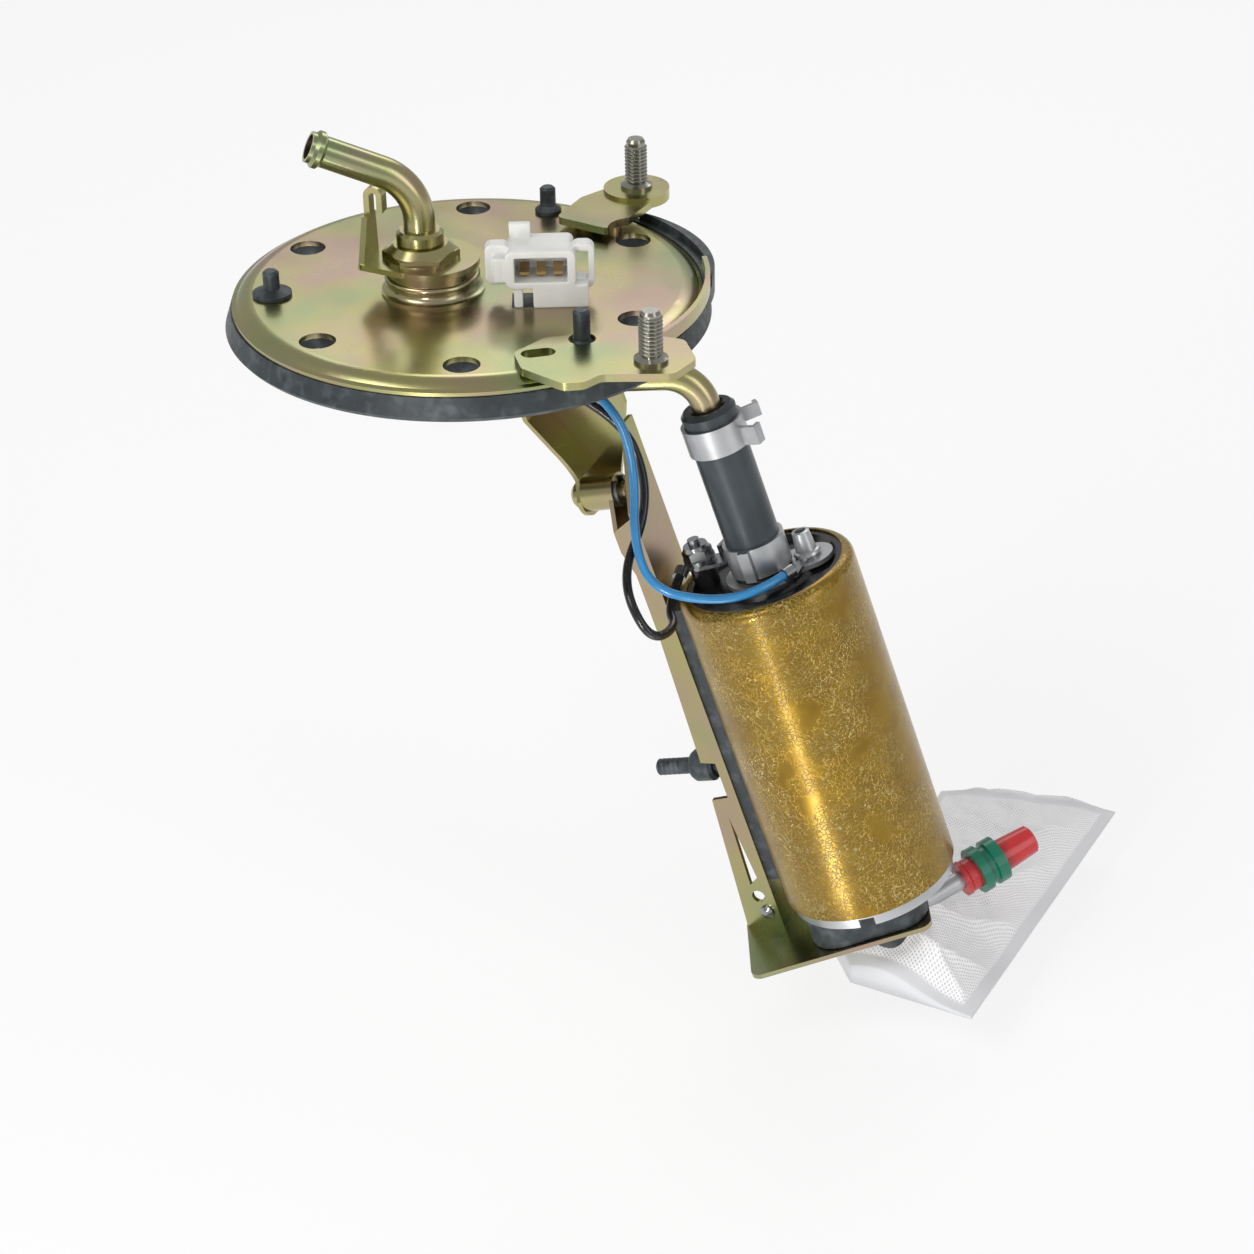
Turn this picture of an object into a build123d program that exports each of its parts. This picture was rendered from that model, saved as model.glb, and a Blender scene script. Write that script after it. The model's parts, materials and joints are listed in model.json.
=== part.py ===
from build123d import *
from math import atan2, cos, degrees, hypot, pi, radians, sin, tan
import os

# Fuel pump module: a flange that closes the tank, a swinging arm, and an electric pump.
# Millimetres, +Z up. The origin is the centre of the flange, on its top (bolt) face.

# ---- Driving dimensions: flange ----
flange_radius = 60.0
flange_flat_radius = 54.5
flange_thickness = 1.4
flange_drop = 1.9
bolt_circle_radius = 49.0
bolt_hole_radius = 4.6
bolt_hole_angles = (30, 90, 150, 223, 270, 330)
nipple_circle_radius = 49.5
nipple_angles = (66, 186, 306)

# ---- Driving dimensions: gasket ----
gasket_inner_radius = 40.0
gasket_thickness = 3.2
skirt_overhang = 2.0
skirt_wall = 3.0
skirt_depth = 8.0
nipple_stem_radius = 2.1
nipple_barb_radii = (3.5, 5.0, 3.0)
nipple_heights = (7.2, 6.8, 9.8)
lip_reach = 4.4
lip_angle = 21
lip_top = 0.2
lip_offset = 20.5

# ---- Driving dimensions: studs and their brackets ----
stud_radius = 3.0
near_stud_height = 13.2
far_stud_height = 13.7
bracket_thickness = 2.0
near_lift = 0.0
far_lift = 1.6
stud_pad_rise = 1.0
near_stud = (45.6, -53.4)
far_stud = (43.8, 50.0)
stud_pad_radius = 8.8
guard_height = 3.6
guard_clearance = 0.4
guard_thickness = 1.3

# ---- Driving dimensions: outlet ----
pipe_radius = 3.8
outlet_radius = 4.1
pipe_wall = 0.8
pipe_bead = 0.8
bead_land = 1.2
bead_setback = 2.4
pipe_place = (-11.2, -3.6)
pipe_rise = 28.5
pipe_reach = 29.0
pipe_bend_radius = 15.0
pipe_climb = 25
pipe_heading = 190
cup_place = (-8.6, -3.7)
cup_radius = 11.2
cup_height = 7.4
cup_wall = 1.2
cup_foot = 2.6
clamp_plate_thickness = 1.5
clamp_turn = -18
nut_across_flats = 17.0
nut_height = 4.0
collar_radius = 6.0
collar_height = 3.6

# ---- Driving dimensions: connector ----
socket_place = (19.5, -12.0)
socket_width = 17.5
socket_depth = 13.0
socket_height = 14.8
socket_legs = 5.5
socket_cavity = 10.0
socket_opening = 6.5
socket_span = 13.2
grommet_length = 16.0
grommet_width = 9.0
grommet_depth = 6.0
grommet_lip = 1.5
terminal_width = 2.3
terminal_thickness = 0.8
terminal_count = 3

# ---- Driving dimensions: pump ----
pump_top = (74.0, -28.0, -70.0)
pump_lean = 17.5
pump_fore = 4.2
can_radius = 23.6
can_wall = 1.0
can_length = 94.5
can_edge = 2.6
cover_depth = 9.0
cover_sink = 1.2
fit_gap = 0.05
running_gap = 0.04
outlet_radius = 4.0
outlet_bore = 2.6
outlet_height = 26.0
inlet_housing_depth = 11.0
crimp_height = 3.4
rotor_radius = 14.0
rotor_length = 46.0
shaft_radius = 2.5
magnet_inner = 14.8
commutator_radius = 8.0
commutator_length = 9.0
impeller_radius = 16.0
impeller_thickness = 3.6
impeller_vanes = 36
brush_size = 5.0

# ---- Driving dimensions: hose and clamps ----
hose_radius = 7.2
hose_bore = 4.1
hose_length = 46.5
hose_seat = 1.2
band_thickness = 0.9
crimp_band_height = 8.4
clamp_band_height = 7.5
clamp_band_base = 36.5
feed_bend_radius = 11.0
feed_level = -16.0

# ---- Driving dimensions: arm ----
arm_turn = 26
arm_gap = 3.2
arm_sheet = 1.3
arm_half_width = 8.0
arm_top = 44.5
arm_wing_top = 4.2
arm_wing_foot = 10.0
pivot_height = 27.0
pivot_gap = 0.1
pin_radius = 2.5
pin_head_radius = 3.7
pin_head_height = 2.2
sleeve_radius = 4.6
sleeve_length = 8.4
ear_reach = 6.2
ear_radius = 4.9
foot_drop = 12.0
foot_right = 12.5
foot_left = 38.0
foot_half_width = 16.5

# ---- Driving dimensions: strainer and side port ----
sock_thickness = 7.0
sock_drop = 30.1
neck_radius = 7.0
neck_bore = 5.0
port_radius = 2.6
port_wall = 0.6
port_length = 44.0
port_turn = 26
port_climb = 16
cap_start = 24.0
cap_end = 47.5
cap_radius = 4.7
ring_radius = 6.6
ring_start = 28.5
ring_end = 36.5

# ---- Driving dimensions: wires ----
wire_radius = 1.2

# ---- Driving dimensions: smaller pieces ----
plug_height = -58.0
plug_stem_radius = 2.3
bracket_sheet = 1.3
bracket_spread = 28
left_terminal = (-15.4, 6.6)
right_terminal = (12.0, 0.6)
pad_height = 3.4
tab_thickness = 0.9
terminal_radius = 1.6
boss_radius = 7.6
valve_seat = 7.0
valve_seat_radius = 1.6
valve_height = 6.0
retainer_base = 20.0
spout_length = 9.0
bearing_radius = 5.0
bearing_length = 4.0
brush_length = 6.0
holder_wall = 2.4
eyelet_thickness = 0.8
washer_thickness = 1.0
terminal_nut_height = 3.6
barrel_radius = 1.8
barrel_length = 3.0

os.makedirs("parts", exist_ok=True)
nodes = {}


def unit(vector):
    return vector.normalized()


pump_up = unit(Vector(-tan(radians(pump_lean)), tan(radians(pump_fore)), 1))
across = unit(Vector(1, 0, 0) - pump_up * pump_up.X)
pump_frame = Plane(origin=pump_top, x_dir=across, z_dir=pump_up)
arm_ahead = pump_frame.x_dir * cos(radians(arm_turn)) - pump_frame.y_dir * sin(radians(arm_turn))
arm_frame = Plane(origin=pump_top, x_dir=arm_ahead, z_dir=pump_up)


def tube(outer, inner, bottom, top):
    """Plain tube about Z between two heights."""
    body = Pos(0, 0, (bottom + top) / 2) * Cylinder(outer, top - bottom)
    return body - Pos(0, 0, (bottom + top) / 2) * Cylinder(inner, top - bottom + 2)


def rod(radius, bottom, top):
    return Pos(0, 0, (bottom + top) / 2) * Cylinder(radius, top - bottom)


def revolve_outline(outline):
    """Turn a closed outline of (radius, height) points about Z."""
    face = make_face(Polyline(*[(r, 0, z) for r, z in outline], close=True))
    return revolve(face, Axis.Z)


def ring_point(radius, angle):
    return (radius * cos(radians(angle)), radius * sin(radians(angle)))


def plate(outline, bottom, thickness, corner=0):
    """Flat plate from a closed outline, its corners rounded."""
    face = make_face(Polyline(*outline, close=True))
    if corner:
        face = fillet(face.vertices(), corner)
    return Pos(0, 0, bottom) * extrude(face, thickness)


def revolve_edges(*edges):
    """Turn a closed chain of edges in the XZ plane about Z."""
    return revolve(make_face(edges), Axis.Z)


def hole(radius, place, bottom, top):
    return Pos(place[0], place[1], 0) * rod(radius, bottom, top)


def swept_tube(path, radius, bore=0):
    """Round section along a path of straight runs and tangent arcs."""
    start = Plane(origin=path @ 0, z_dir=path % 0)
    body = sweep(start * Circle(radius), path=path)
    if bore:
        body = body - sweep(start * Circle(bore), path=path)
    return body


def keep(name, shape, frame=None):
    nodes[name] = frame * shape if frame else shape


# ---- Flange ----
flange_under = -flange_thickness
shoulder_run = flange_radius - 1.2 - flange_flat_radius
skirt_outer_radius = flange_radius + skirt_overhang
guard_inner = flange_radius + guard_clearance
guard_outer = guard_inner + guard_thickness
shoulder_radius = (shoulder_run ** 2 + flange_drop ** 2) / (2 * flange_drop)
shoulder_angle = atan2(shoulder_run, shoulder_radius - flange_drop)


def shoulder_point(radius, angle):
    x = flange_flat_radius + radius * sin(angle)
    return (x, 0, radius * cos(angle) - shoulder_radius)


def flange_plate():
    inner_bend = shoulder_radius - flange_thickness
    outer_arc = ThreePointArc(
        (flange_flat_radius, 0, 0),
        shoulder_point(shoulder_radius, shoulder_angle / 2),
        shoulder_point(shoulder_radius, shoulder_angle),
    )
    inner_arc = ThreePointArc(
        shoulder_point(inner_bend, shoulder_angle),
        shoulder_point(inner_bend, shoulder_angle / 2),
        (flange_flat_radius, 0, flange_under),
    )
    rim_top = (flange_radius, 0, -flange_drop - 0.4)
    rim_bottom = (flange_radius, 0, -flange_drop - flange_thickness)
    disc = revolve_edges(
        Line((0, 0, 0), (flange_flat_radius, 0, 0)),
        outer_arc,
        Line(outer_arc @ 1, rim_top),
        Line(rim_top, rim_bottom),
        Line(rim_bottom, inner_arc @ 0),
        inner_arc,
        Line(inner_arc @ 1, (0, 0, flange_under)),
        Line((0, 0, flange_under), (0, 0, 0)),
    )
    for angle in bolt_hole_angles:
        disc -= hole(bolt_hole_radius, ring_point(bolt_circle_radius, angle), -5, 5)
    for angle in nipple_angles:
        disc -= hole(nipple_stem_radius + fit_gap, ring_point(nipple_circle_radius, angle), -5, 5)
    disc -= hole(pipe_radius + fit_gap, pipe_place, -5, 5)
    disc -= Pos(socket_place[0], socket_place[1], 0) * Box(grommet_length, grommet_width, 10)
    return disc


# ---- Gasket: web under the plate, a skirt round the rim, three pull-through nipples ----
def tank_gasket():
    web_top = flange_under
    web_bottom = web_top - gasket_thickness
    skirt_bottom = web_bottom - skirt_depth + gasket_thickness
    skirt_inner = skirt_outer_radius - skirt_wall
    web_outer = flange_flat_radius - 0.3
    rim_clear = -flange_drop - flange_thickness - 0.1
    body = revolve_outline([
        (gasket_inner_radius, web_top),
        (web_outer, web_top),
        (skirt_inner - 0.6, rim_clear),
        (flange_radius + 0.4, rim_clear),
        (skirt_outer_radius, skirt_bottom + 1.2),
        (skirt_outer_radius - 1.0, skirt_bottom),
        (skirt_inner, skirt_bottom),
        (skirt_inner - 1.4, web_bottom - 0.8),
        (skirt_inner - 2.4, web_bottom),
        (gasket_inner_radius, web_bottom),
    ])
    lip_radius = flange_radius + fit_gap + lip_reach - lip_offset
    lip_centre = ring_point(lip_offset, lip_angle)
    lip = hole(lip_radius, lip_centre, rim_clear - 2.5, lip_top)
    lip -= rod(flange_radius + fit_gap, rim_clear, 1)
    lip -= rod(flange_radius - 1, rim_clear - 3, 1)
    lip -= rod(guard_outer + 0.3, near_lift + bracket_thickness - guard_height - 0.2, 1)
    body += lip
    for angle in bolt_hole_angles:
        body -= hole(bolt_hole_radius + 0.9, ring_point(bolt_circle_radius, angle), -20, 5)
    return body


def nipple(barb_radius, height):
    """Stem through the plate with a flared barb that holds on the plate's top."""
    barb_base = fit_gap
    return revolve_outline([
        (0, flange_under),
        (nipple_stem_radius, flange_under),
        (nipple_stem_radius, barb_base),
        (barb_radius, barb_base),
        (barb_radius, barb_base + 0.9),
        (nipple_stem_radius, barb_base + 2.0),
        (nipple_stem_radius, height - 0.6),
        (nipple_stem_radius - 0.6, height),
        (0, height),
    ])


def pull_nipples():
    solids = []
    for angle, barb_radius, height in zip(nipple_angles, nipple_barb_radii, nipple_heights):
        x, y = ring_point(nipple_circle_radius, angle)
        solids.append(Pos(x, y, 0) * nipple(barb_radius, height))
    return Compound(solids)


# ---- Stud brackets ----
near_top = near_lift + bracket_thickness
far_top = far_lift + bracket_thickness
far_pad_top = far_top + stud_pad_rise


def stud(place, base, seat, height):
    """Screw with a collar that is pressed into its bracket."""
    body = revolve_outline([
        (0, base),
        (stud_radius, base),
        (stud_radius, seat),
        (stud_radius + 1.2, seat),
        (stud_radius + 1.2, seat + 0.9),
        (stud_radius, seat + 1.5),
        (stud_radius, seat + height - 0.7),
        (stud_radius - 0.7, seat + height),
        (0, seat + height),
    ])
    return Pos(place[0], place[1], 0) * body


near_outline = [
    (12.5, -47), (14.5, -56), (24.5, -65), (29.5, -64.5), (33.5, -60.5),
    (51, -61), (56.5, -53), (54, -42), (38, -35), (20, -39),
]
far_outline = [
    (22.5, 33), (29, 46), (36, 52), (46, 52), (50, 46), (41.5, 31), (36, 24),
]


def weld_boss(place, height):
    return Pos(place[0], place[1], height / 2) * Cylinder(3.0, height)


def near_bracket():
    body = plate(near_outline, near_lift, bracket_thickness, 2.6)
    guard = tube(guard_outer, guard_inner, near_top - guard_height, near_top)
    rays = [(0, 0)]
    rays += [ring_point(90, angle) for angle in (-46, -17, 8)]
    guard &= plate(rays, -20, 40)
    body += guard
    body -= hole(stud_radius, near_stud, -1, 5)
    near_nipple = ring_point(nipple_circle_radius, nipple_angles[2])
    body -= hole(nipple_barb_radii[2] + 0.4, near_nipple, -1, 5)
    slot = Pos(18.5, -47.5, 0) * Rot(0, 0, 12) * SlotOverall(8.5, 4.6)
    body -= extrude(slot, 10)
    for angle in (270, 330):
        body -= hole(bolt_hole_radius + 2.0, ring_point(bolt_circle_radius, angle), -1, 5)
    return body


def far_bracket():
    body = plate(far_outline, far_lift, bracket_thickness, 2.0)
    body += hole(stud_pad_radius, far_stud, far_lift, far_pad_top)
    body += weld_boss((30.5, 35.5), far_lift) + weld_boss((36.5, 33), far_lift)
    body -= hole(stud_radius, far_stud, -1, 8)
    body -= hole(bolt_hole_radius + 2.0, ring_point(bolt_circle_radius, 30), -1, 5)
    return body


# ---- Outlet: cup, clamp plate with its hose hook, nut, collar and pipe ----
def pipe_cup():
    """Pressed cup: flared foot, a raised bead low on the wall, a closed top."""
    foot_edge = 0.7
    foot_bend = cup_foot - foot_edge
    foot_radius = cup_radius + foot_bend
    inner = cup_radius - cup_wall
    foot_middle = (foot_radius - foot_bend * sin(pi / 4), 0, cup_foot - foot_bend * sin(pi / 4))
    foot_arc = ThreePointArc((foot_radius, 0, foot_edge), foot_middle, (cup_radius, 0, cup_foot))
    bead_low = (cup_radius, 0, cup_foot + 0.6)
    bead_high = (cup_radius, 0, cup_foot + 2.4)
    bead = ThreePointArc(bead_low, (cup_radius + 0.9, 0, cup_foot + 1.5), bead_high)
    body = revolve_edges(
        Line((inner, 0, 0), (foot_radius, 0, 0)),
        Line((foot_radius, 0, 0), (foot_radius, 0, foot_edge)),
        foot_arc,
        Line((cup_radius, 0, cup_foot), bead_low),
        bead,
        Line(bead_high, (cup_radius, 0, cup_height)),
        Line((cup_radius, 0, cup_height), (0, 0, cup_height)),
        Line((0, 0, cup_height), (0, 0, cup_height - cup_wall)),
        Line((0, 0, cup_height - cup_wall), (inner, 0, cup_height - cup_wall)),
        Line((inner, 0, cup_height - cup_wall), (inner, 0, 0)),
    )
    body = Pos(cup_place[0], cup_place[1], 0) * body
    return body - hole(outlet_radius + fit_gap, pipe_place, cup_height - 3, cup_height + 3)


clamp_top = cup_height + clamp_plate_thickness


def hose_hook_plate():
    """Round clamp plate; its left tab turns up and ends in a narrow hook."""
    radius = cup_radius + 1.0
    sheet = clamp_plate_thickness
    disc = rod(radius, 0, sheet)
    disc += plate([(-radius - 4.0, -9.5), (-2, -radius), (-2, radius - 3), (-radius - 4.0, 1.5)],
                  0, sheet, 1.5)
    wall_top = 12.5
    wall_place = -radius - 4.0 + sheet / 2
    disc += side_plate_x(wall_place, [(-9.5, 0), (1.5, 0), (0.5, wall_top), (-5.0, wall_top)], sheet)
    hook = Pos(wall_place, -1.6, wall_top)
    hook_width = 3.4
    hook_bend = 1.7
    disc += hook * Pos(0, 0, 2.0) * Box(sheet, hook_width, 6.0)
    crown = hook * Pos(hook_bend, 0, 5.0) * Rot(90, 0, 0) * Cylinder(hook_bend + sheet / 2, hook_width)
    inner = Rot(90, 0, 0) * Cylinder(hook_bend - sheet / 2, hook_width + 1)
    crown -= hook * Pos(hook_bend, 0, 5.0) * inner
    crown -= hook * Pos(hook_bend, 0, 2.5) * Box(6, 6, 5)
    disc += crown
    disc += hook * Pos(2 * hook_bend, 0, 2.9) * Box(sheet, hook_width, 4.4)
    disc = Pos(cup_place[0], cup_place[1], cup_height) * Rot(0, 0, clamp_turn) * disc
    disc -= hole(outlet_radius + fit_gap, pipe_place, 0, 30)
    return disc


def side_plate_x(place, outline, thickness):
    """Plate square to X, centred on place, from a (y, z) outline."""
    face = make_face(Polyline(*[(0, y, z) for y, z in outline], close=True))
    return Pos(place - thickness / 2, 0, 0) * extrude(face, thickness, dir=(1, 0, 0))


def pipe_nut():
    """Hexagon nut with a washer skirt."""
    hexagon = RegularPolygon(nut_across_flats / 2, 6, major_radius=False)
    body = extrude(hexagon, nut_height)
    crown = revolve_outline([
        (0, -1), (nut_across_flats, -1), (nut_across_flats / 2 + 0.3, nut_height * 0.55),
        (nut_across_flats / 2 - 1.6, nut_height), (0, nut_height),
    ])
    body &= crown
    body += Cylinder(nut_across_flats / 2 + 0.9, 0.9, align=(Align.CENTER, Align.CENTER, Align.MIN))
    body -= rod(outlet_radius + fit_gap, -1, nut_height + 1)
    return Pos(pipe_place[0], pipe_place[1], clamp_top) * body


nut_top = clamp_top + nut_height


def pipe_collar():
    body = revolve_outline([
        (outlet_radius + fit_gap, 0), (collar_radius - 0.4, 0), (collar_radius, 0.5),
        (collar_radius, collar_height - 0.7), (collar_radius - 0.9, collar_height),
        (outlet_radius + fit_gap, collar_height),
    ])
    return Pos(pipe_place[0], pipe_place[1], nut_top) * body


climb = radians(pipe_climb)
heading = radians(pipe_heading)
pipe_way = Vector(cos(climb) * cos(heading), cos(climb) * sin(heading), sin(climb))
pipe_corner = Vector(pipe_place[0], pipe_place[1], pipe_rise)
pipe_end = pipe_corner + pipe_way * pipe_reach


def outlet_pipe():
    """Bent steel pipe with a rolled bead that holds the hose."""
    start = Vector(pipe_place[0], pipe_place[1], cup_height - cup_wall - 1)
    path = FilletPolyline(start, pipe_corner, pipe_end, radius=pipe_bend_radius)
    body = swept_tube(path, outlet_radius)
    bead_plane = Plane(origin=pipe_end - pipe_way * bead_setback, z_dir=pipe_way)
    bead = bead_plane * revolve_outline([
        (outlet_radius - 0.3, -bead_land / 2 - pipe_bead), (outlet_radius, -bead_land / 2 - pipe_bead),
        (outlet_radius + pipe_bead, -bead_land / 2), (outlet_radius + pipe_bead, bead_land / 2),
        (outlet_radius, bead_land / 2 + pipe_bead), (outlet_radius - 0.3, bead_land / 2 + pipe_bead),
    ])
    body += bead
    return body - swept_tube(path, outlet_radius - pipe_wall)


# ---- Feed pipe below the flange ----
hose_top_height = hose_seat + hose_length
feed_corner_height = (feed_level - pump_top[2]) / pump_up.Z
feed_corner = Vector(*pump_top) + pump_up * feed_corner_height


def feed_pipe():
    """Pipe from the cup, along under the flange, and down into the hose."""
    start = Vector(pipe_place[0], pipe_place[1], cup_height - cup_wall - 2.5)
    turn_down = Vector(pipe_place[0], pipe_place[1], feed_level)
    aside = Vector(pipe_place[0] + 2, feed_corner.Y, feed_level)
    end = Vector(*pump_top) + pump_up * (hose_top_height - 15)
    path = FilletPolyline(start, turn_down, aside, feed_corner, end,
                          radius=(8, 8, feed_bend_radius))
    body = swept_tube(path, pipe_radius)
    return body - swept_tube(path, pipe_radius - pipe_wall)


# ---- Connector ----
def connector_housing():
    """Socket body on legs, with a latch loop, a side wing and a top tab."""
    x = socket_place[0]
    front = socket_front
    middle = front + socket_depth / 2
    level = (socket_legs + socket_height) / 2
    shell = Pos(x - 0.5, middle, level) * Box(socket_width - 1, socket_depth, socket_height - socket_legs)
    body = fillet(shell.edges().filter_by(Axis.Y), 1.6)
    rim = Pos(x - 0.5, front + 0.9, level) * Box(socket_width, 1.8, socket_height - socket_legs + 0.6)
    body += fillet(rim.edges().filter_by(Axis.Y), 1.8)
    body += Pos(x + 4.4, front + 4.5, socket_legs / 2 + 0.2) * Box(13.8, 9.0, socket_legs + 0.4)
    body += Pos(x - 6.2, front + 1.6, socket_legs / 2 + 0.2) * Box(2.2, 2.6, socket_legs + 0.4)
    body += Pos(x - 11.6, middle + 1.0, level - 2.6) * Box(3.0, 3.0, 7.4)
    wing = Pos(x - 11.3, middle, level - 0.2) * Box(6.2, 4.0, 10.6)
    wing = fillet(wing.edges().filter_by(Axis.Y), 1.8)
    body += wing
    body += Pos(x - 10.0, front + 3.5, level - 0.6) * Box(4.4, 4.0, 6.4)
    loop = Pos(x + 10.0, middle - 1.5, level - 0.4) * Box(6.0, 4.0, 12.0)
    loop = fillet(loop.edges().filter_by(Axis.Y), 2.2)
    loop -= Pos(x + 9.9, middle - 1.5, level - 0.2) * Box(3.0, 6, 7.4)
    body += loop
    body += Pos(x - 5.6, middle + 4.0, socket_height + 1.6) * Box(5.4, 1.8, 4.6)
    cavity = Pos(x - 0.4, front + socket_cavity / 2, level - 0.1)
    return body - cavity * Box(socket_span, socket_cavity, socket_opening)


socket_front = socket_place[1] - 5.0


def connector_terminals():
    """Flat blades standing from the back wall of the socket."""
    length = 6.5
    level = (socket_legs + socket_height - socket_opening) / 2 + 1.0
    blades = []
    for index in range(terminal_count):
        offset = (index - (terminal_count - 1) / 2) * 4.2
        place = Pos(socket_place[0] + offset - 0.4, socket_front + socket_cavity - length / 2, level)
        blades.append(place * Box(terminal_width, length, terminal_thickness))
    return Compound(blades)


def wire_grommet():
    """Rubber plug through the plate, with a lip below it."""
    x, y = socket_place
    plug = Pos(x, y, flange_under / 2)
    body = plug * Box(grommet_length, grommet_width, flange_thickness)
    lip = Pos(x, y, flange_under - grommet_lip / 2)
    body += lip * Box(grommet_length + 4, grommet_width + 4, grommet_lip)
    boss = Pos(x, y, flange_under - grommet_depth / 2)
    body += boss * Box(grommet_length - 3, grommet_width - 2.4, grommet_depth)
    return body


# ---- Arm: one stamped sheet with side wings, a closing ear for the pivot, and a foot ----
# Arm frame: +X from the arm to the pump, +Z up along the pump, origin on the pump axis.
arm_face = -(can_radius + arm_gap)
arm_back = arm_face - arm_sheet
ear_outer = arm_back - ear_reach
ear_inner = ear_outer + arm_sheet
foot_top = -can_length - foot_drop
foot_bottom = foot_top - arm_sheet


def side_plate(outline, low_y, high_y, corner=0):
    """Plate square to Y from an (x, z) outline."""
    face = make_face(Polyline(*[(x, 0, z) for x, z in outline], close=True))
    if corner:
        face = fillet(face.vertices(), corner)
    return Pos(0, low_y, 0) * extrude(face, high_y - low_y, dir=(0, 1, 0))


def cross_plate(outline, low_x, high_x, corner=0):
    """Plate square to X from a (y, z) outline."""
    face = make_face(Polyline(*[(0, y, z) for y, z in outline], close=True))
    if corner:
        face = fillet(face.vertices(), corner)
    return Pos(low_x, 0, 0) * extrude(face, high_x - low_x, dir=(1, 0, 0))


def cross_rod(radius, low_x, high_x, height, y=0):
    return Pos((low_x + high_x) / 2, y, height) * Rot(0, 90, 0) * Cylinder(radius, high_x - low_x)


def arm_channel():
    half = arm_half_width
    web = cross_plate([
        (-half, foot_bottom), (half, foot_bottom), (half, arm_top), (3.5, arm_top), (-half, 24),
    ], arm_back, arm_face)
    wing_outline = [
        (arm_face, foot_bottom), (arm_back - arm_wing_foot, foot_bottom),
        (arm_back - 6.0, plug_height), (arm_back - arm_wing_top, -12),
        (arm_back - arm_wing_top, 6), (ear_outer, 13), (ear_outer, 19), (arm_face, 23),
    ]
    front = side_plate(wing_outline, -half, -half + arm_sheet)
    notch = side_plate([
        (arm_back - 1.5, plug_height - 6), (arm_back - 20, plug_height - 8),
        (arm_back - 20, plug_height + 7), (arm_back - 1.5, plug_height + 5),
    ], -half - 1, -half + 3)
    front -= notch
    front -= side_plate([
        (arm_back - 1.6, foot_top + 16), (arm_back - 4.4, foot_top + 14),
        (arm_back - 3.4, foot_top + 36),
    ], -half - 1, -half + 3)
    front -= Pos(arm_back - 3.2, -half, foot_top + 10) * Rot(90, 0, 0) * Cylinder(1.9, 5)
    back = side_plate(wing_outline, half - arm_sheet, half)
    ear = cross_plate([
        (-half, 13), (half, 13), (half, 19), (ear_radius, pivot_height), (-ear_radius, pivot_height),
        (-half, 19),
    ], ear_outer, ear_inner)
    ear += cross_rod(ear_radius, ear_outer, ear_inner, pivot_height)
    body = web + front + back + ear
    body -= cross_rod(pin_radius + running_gap, ear_outer - 1, ear_inner + 1, pivot_height)
    body -= cross_rod(plug_stem_radius + fit_gap, arm_back - 1, arm_face + 1, plug_height)
    body -= Pos(arm_back - 2.0, -half, foot_top + 5) * Rot(90, 0, 0) * Cylinder(1.2, 5)
    turned = Rot(0, 0, -arm_turn) * body
    foot = plate([
        (-foot_left, -foot_half_width), (foot_right, -foot_half_width),
        (foot_right, foot_half_width - 1.5), (-16, 19), (-23, 25), (-31, 25), (-foot_left, 11),
    ], foot_bottom, arm_sheet, 3.2)
    foot -= rod(neck_radius + 0.3, foot_bottom - 1, foot_top + 1)
    return turned + foot


def foot_rivet():
    half = arm_half_width
    place = Pos(arm_back - 2.0, -half, foot_top + 5) * Rot(90, 0, 0)
    head = revolve_outline([(0, 0), (2.1, 0), (1.9, 0.8), (1.0, 1.4), (0, 1.5)])
    shank = rod(1.15, -arm_sheet - 0.6, 0)
    tail = rod(1.7, -arm_sheet - 0.6, -arm_sheet - 0.05)
    return place * (head + shank + tail)


def pump_pad():
    """Rubber strip shaped to the can, held by one barbed plug through the arm."""
    half = arm_half_width - 0.8
    depth = can_radius - 5.0
    body = cross_plate([
        (-half, -can_length + 3), (half, -can_length + 3), (half, -6), (-half, -6),
    ], arm_face, -depth)
    body -= rod(can_radius + fit_gap, -can_length - 5, 5)
    body += cross_rod(plug_stem_radius, arm_back - 0.3, arm_face + 0.5, plug_height)
    barb = revolve_outline([(0, 0), (4.0, 0), (4.0, 1.6), (2.7, 5.4), (1.9, 5.9),
                            (1.9, 17.0), (1.5, 17.6), (0, 17.6)])
    body += Pos(arm_back - 0.3, 0, plug_height) * Rot(0, -90, 0) * barb
    return body


def foot_cushion():
    body = plate([(-20, -15.5), (foot_right, -15.5), (foot_right, 14.5), (-20, 14.5)],
                 foot_top, -can_length - crimp_height - foot_top, 8)
    return body - rod(neck_radius + 0.3, foot_top - 1, -can_length)


# ---- Pivot: pin, spacer, retaining ring ----
wall_right = ear_outer - pivot_gap - sleeve_length
wall_left = wall_right - bracket_sheet
bracket_bend = pivot_height + 5
bracket_upright = pivot_height + 23
bracket_shift = (bracket_upright - bracket_bend) * tan(radians(bracket_spread))
clip_left = ear_inner + pivot_gap


def pivot_pin():
    body = cross_rod(pin_radius, wall_left, clip_left + 2.4, pivot_height)
    head = revolve_outline([(0, 0), (pin_head_radius, 0), (pin_head_radius, 1.2),
                            (pin_head_radius - 0.8, pin_head_height), (0, pin_head_height)])
    body += Pos(wall_left, 0, pivot_height) * Rot(0, -90, 0) * head
    groove = cross_rod(pin_radius + 1, clip_left, clip_left + 1.0, pivot_height)
    groove -= cross_rod(pin_radius - 0.5, clip_left - 1, clip_left + 2.0, pivot_height)
    return body - groove


def pivot_sleeve():
    low = wall_right
    body = cross_rod(sleeve_radius, low, low + sleeve_length, pivot_height)
    return body - cross_rod(pin_radius + fit_gap, low - 1, low + sleeve_length + 1, pivot_height)


def pivot_clip():
    body = cross_rod(pin_radius + 1.6, clip_left + 0.02, clip_left + 0.98, pivot_height)
    body -= cross_rod(pin_radius - 0.45, clip_left - 1, clip_left + 3, pivot_height)
    slot = Pos(clip_left + 0.5, 0, pivot_height + 4) * Box(3, 3.2, 8)
    return body - slot


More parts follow.
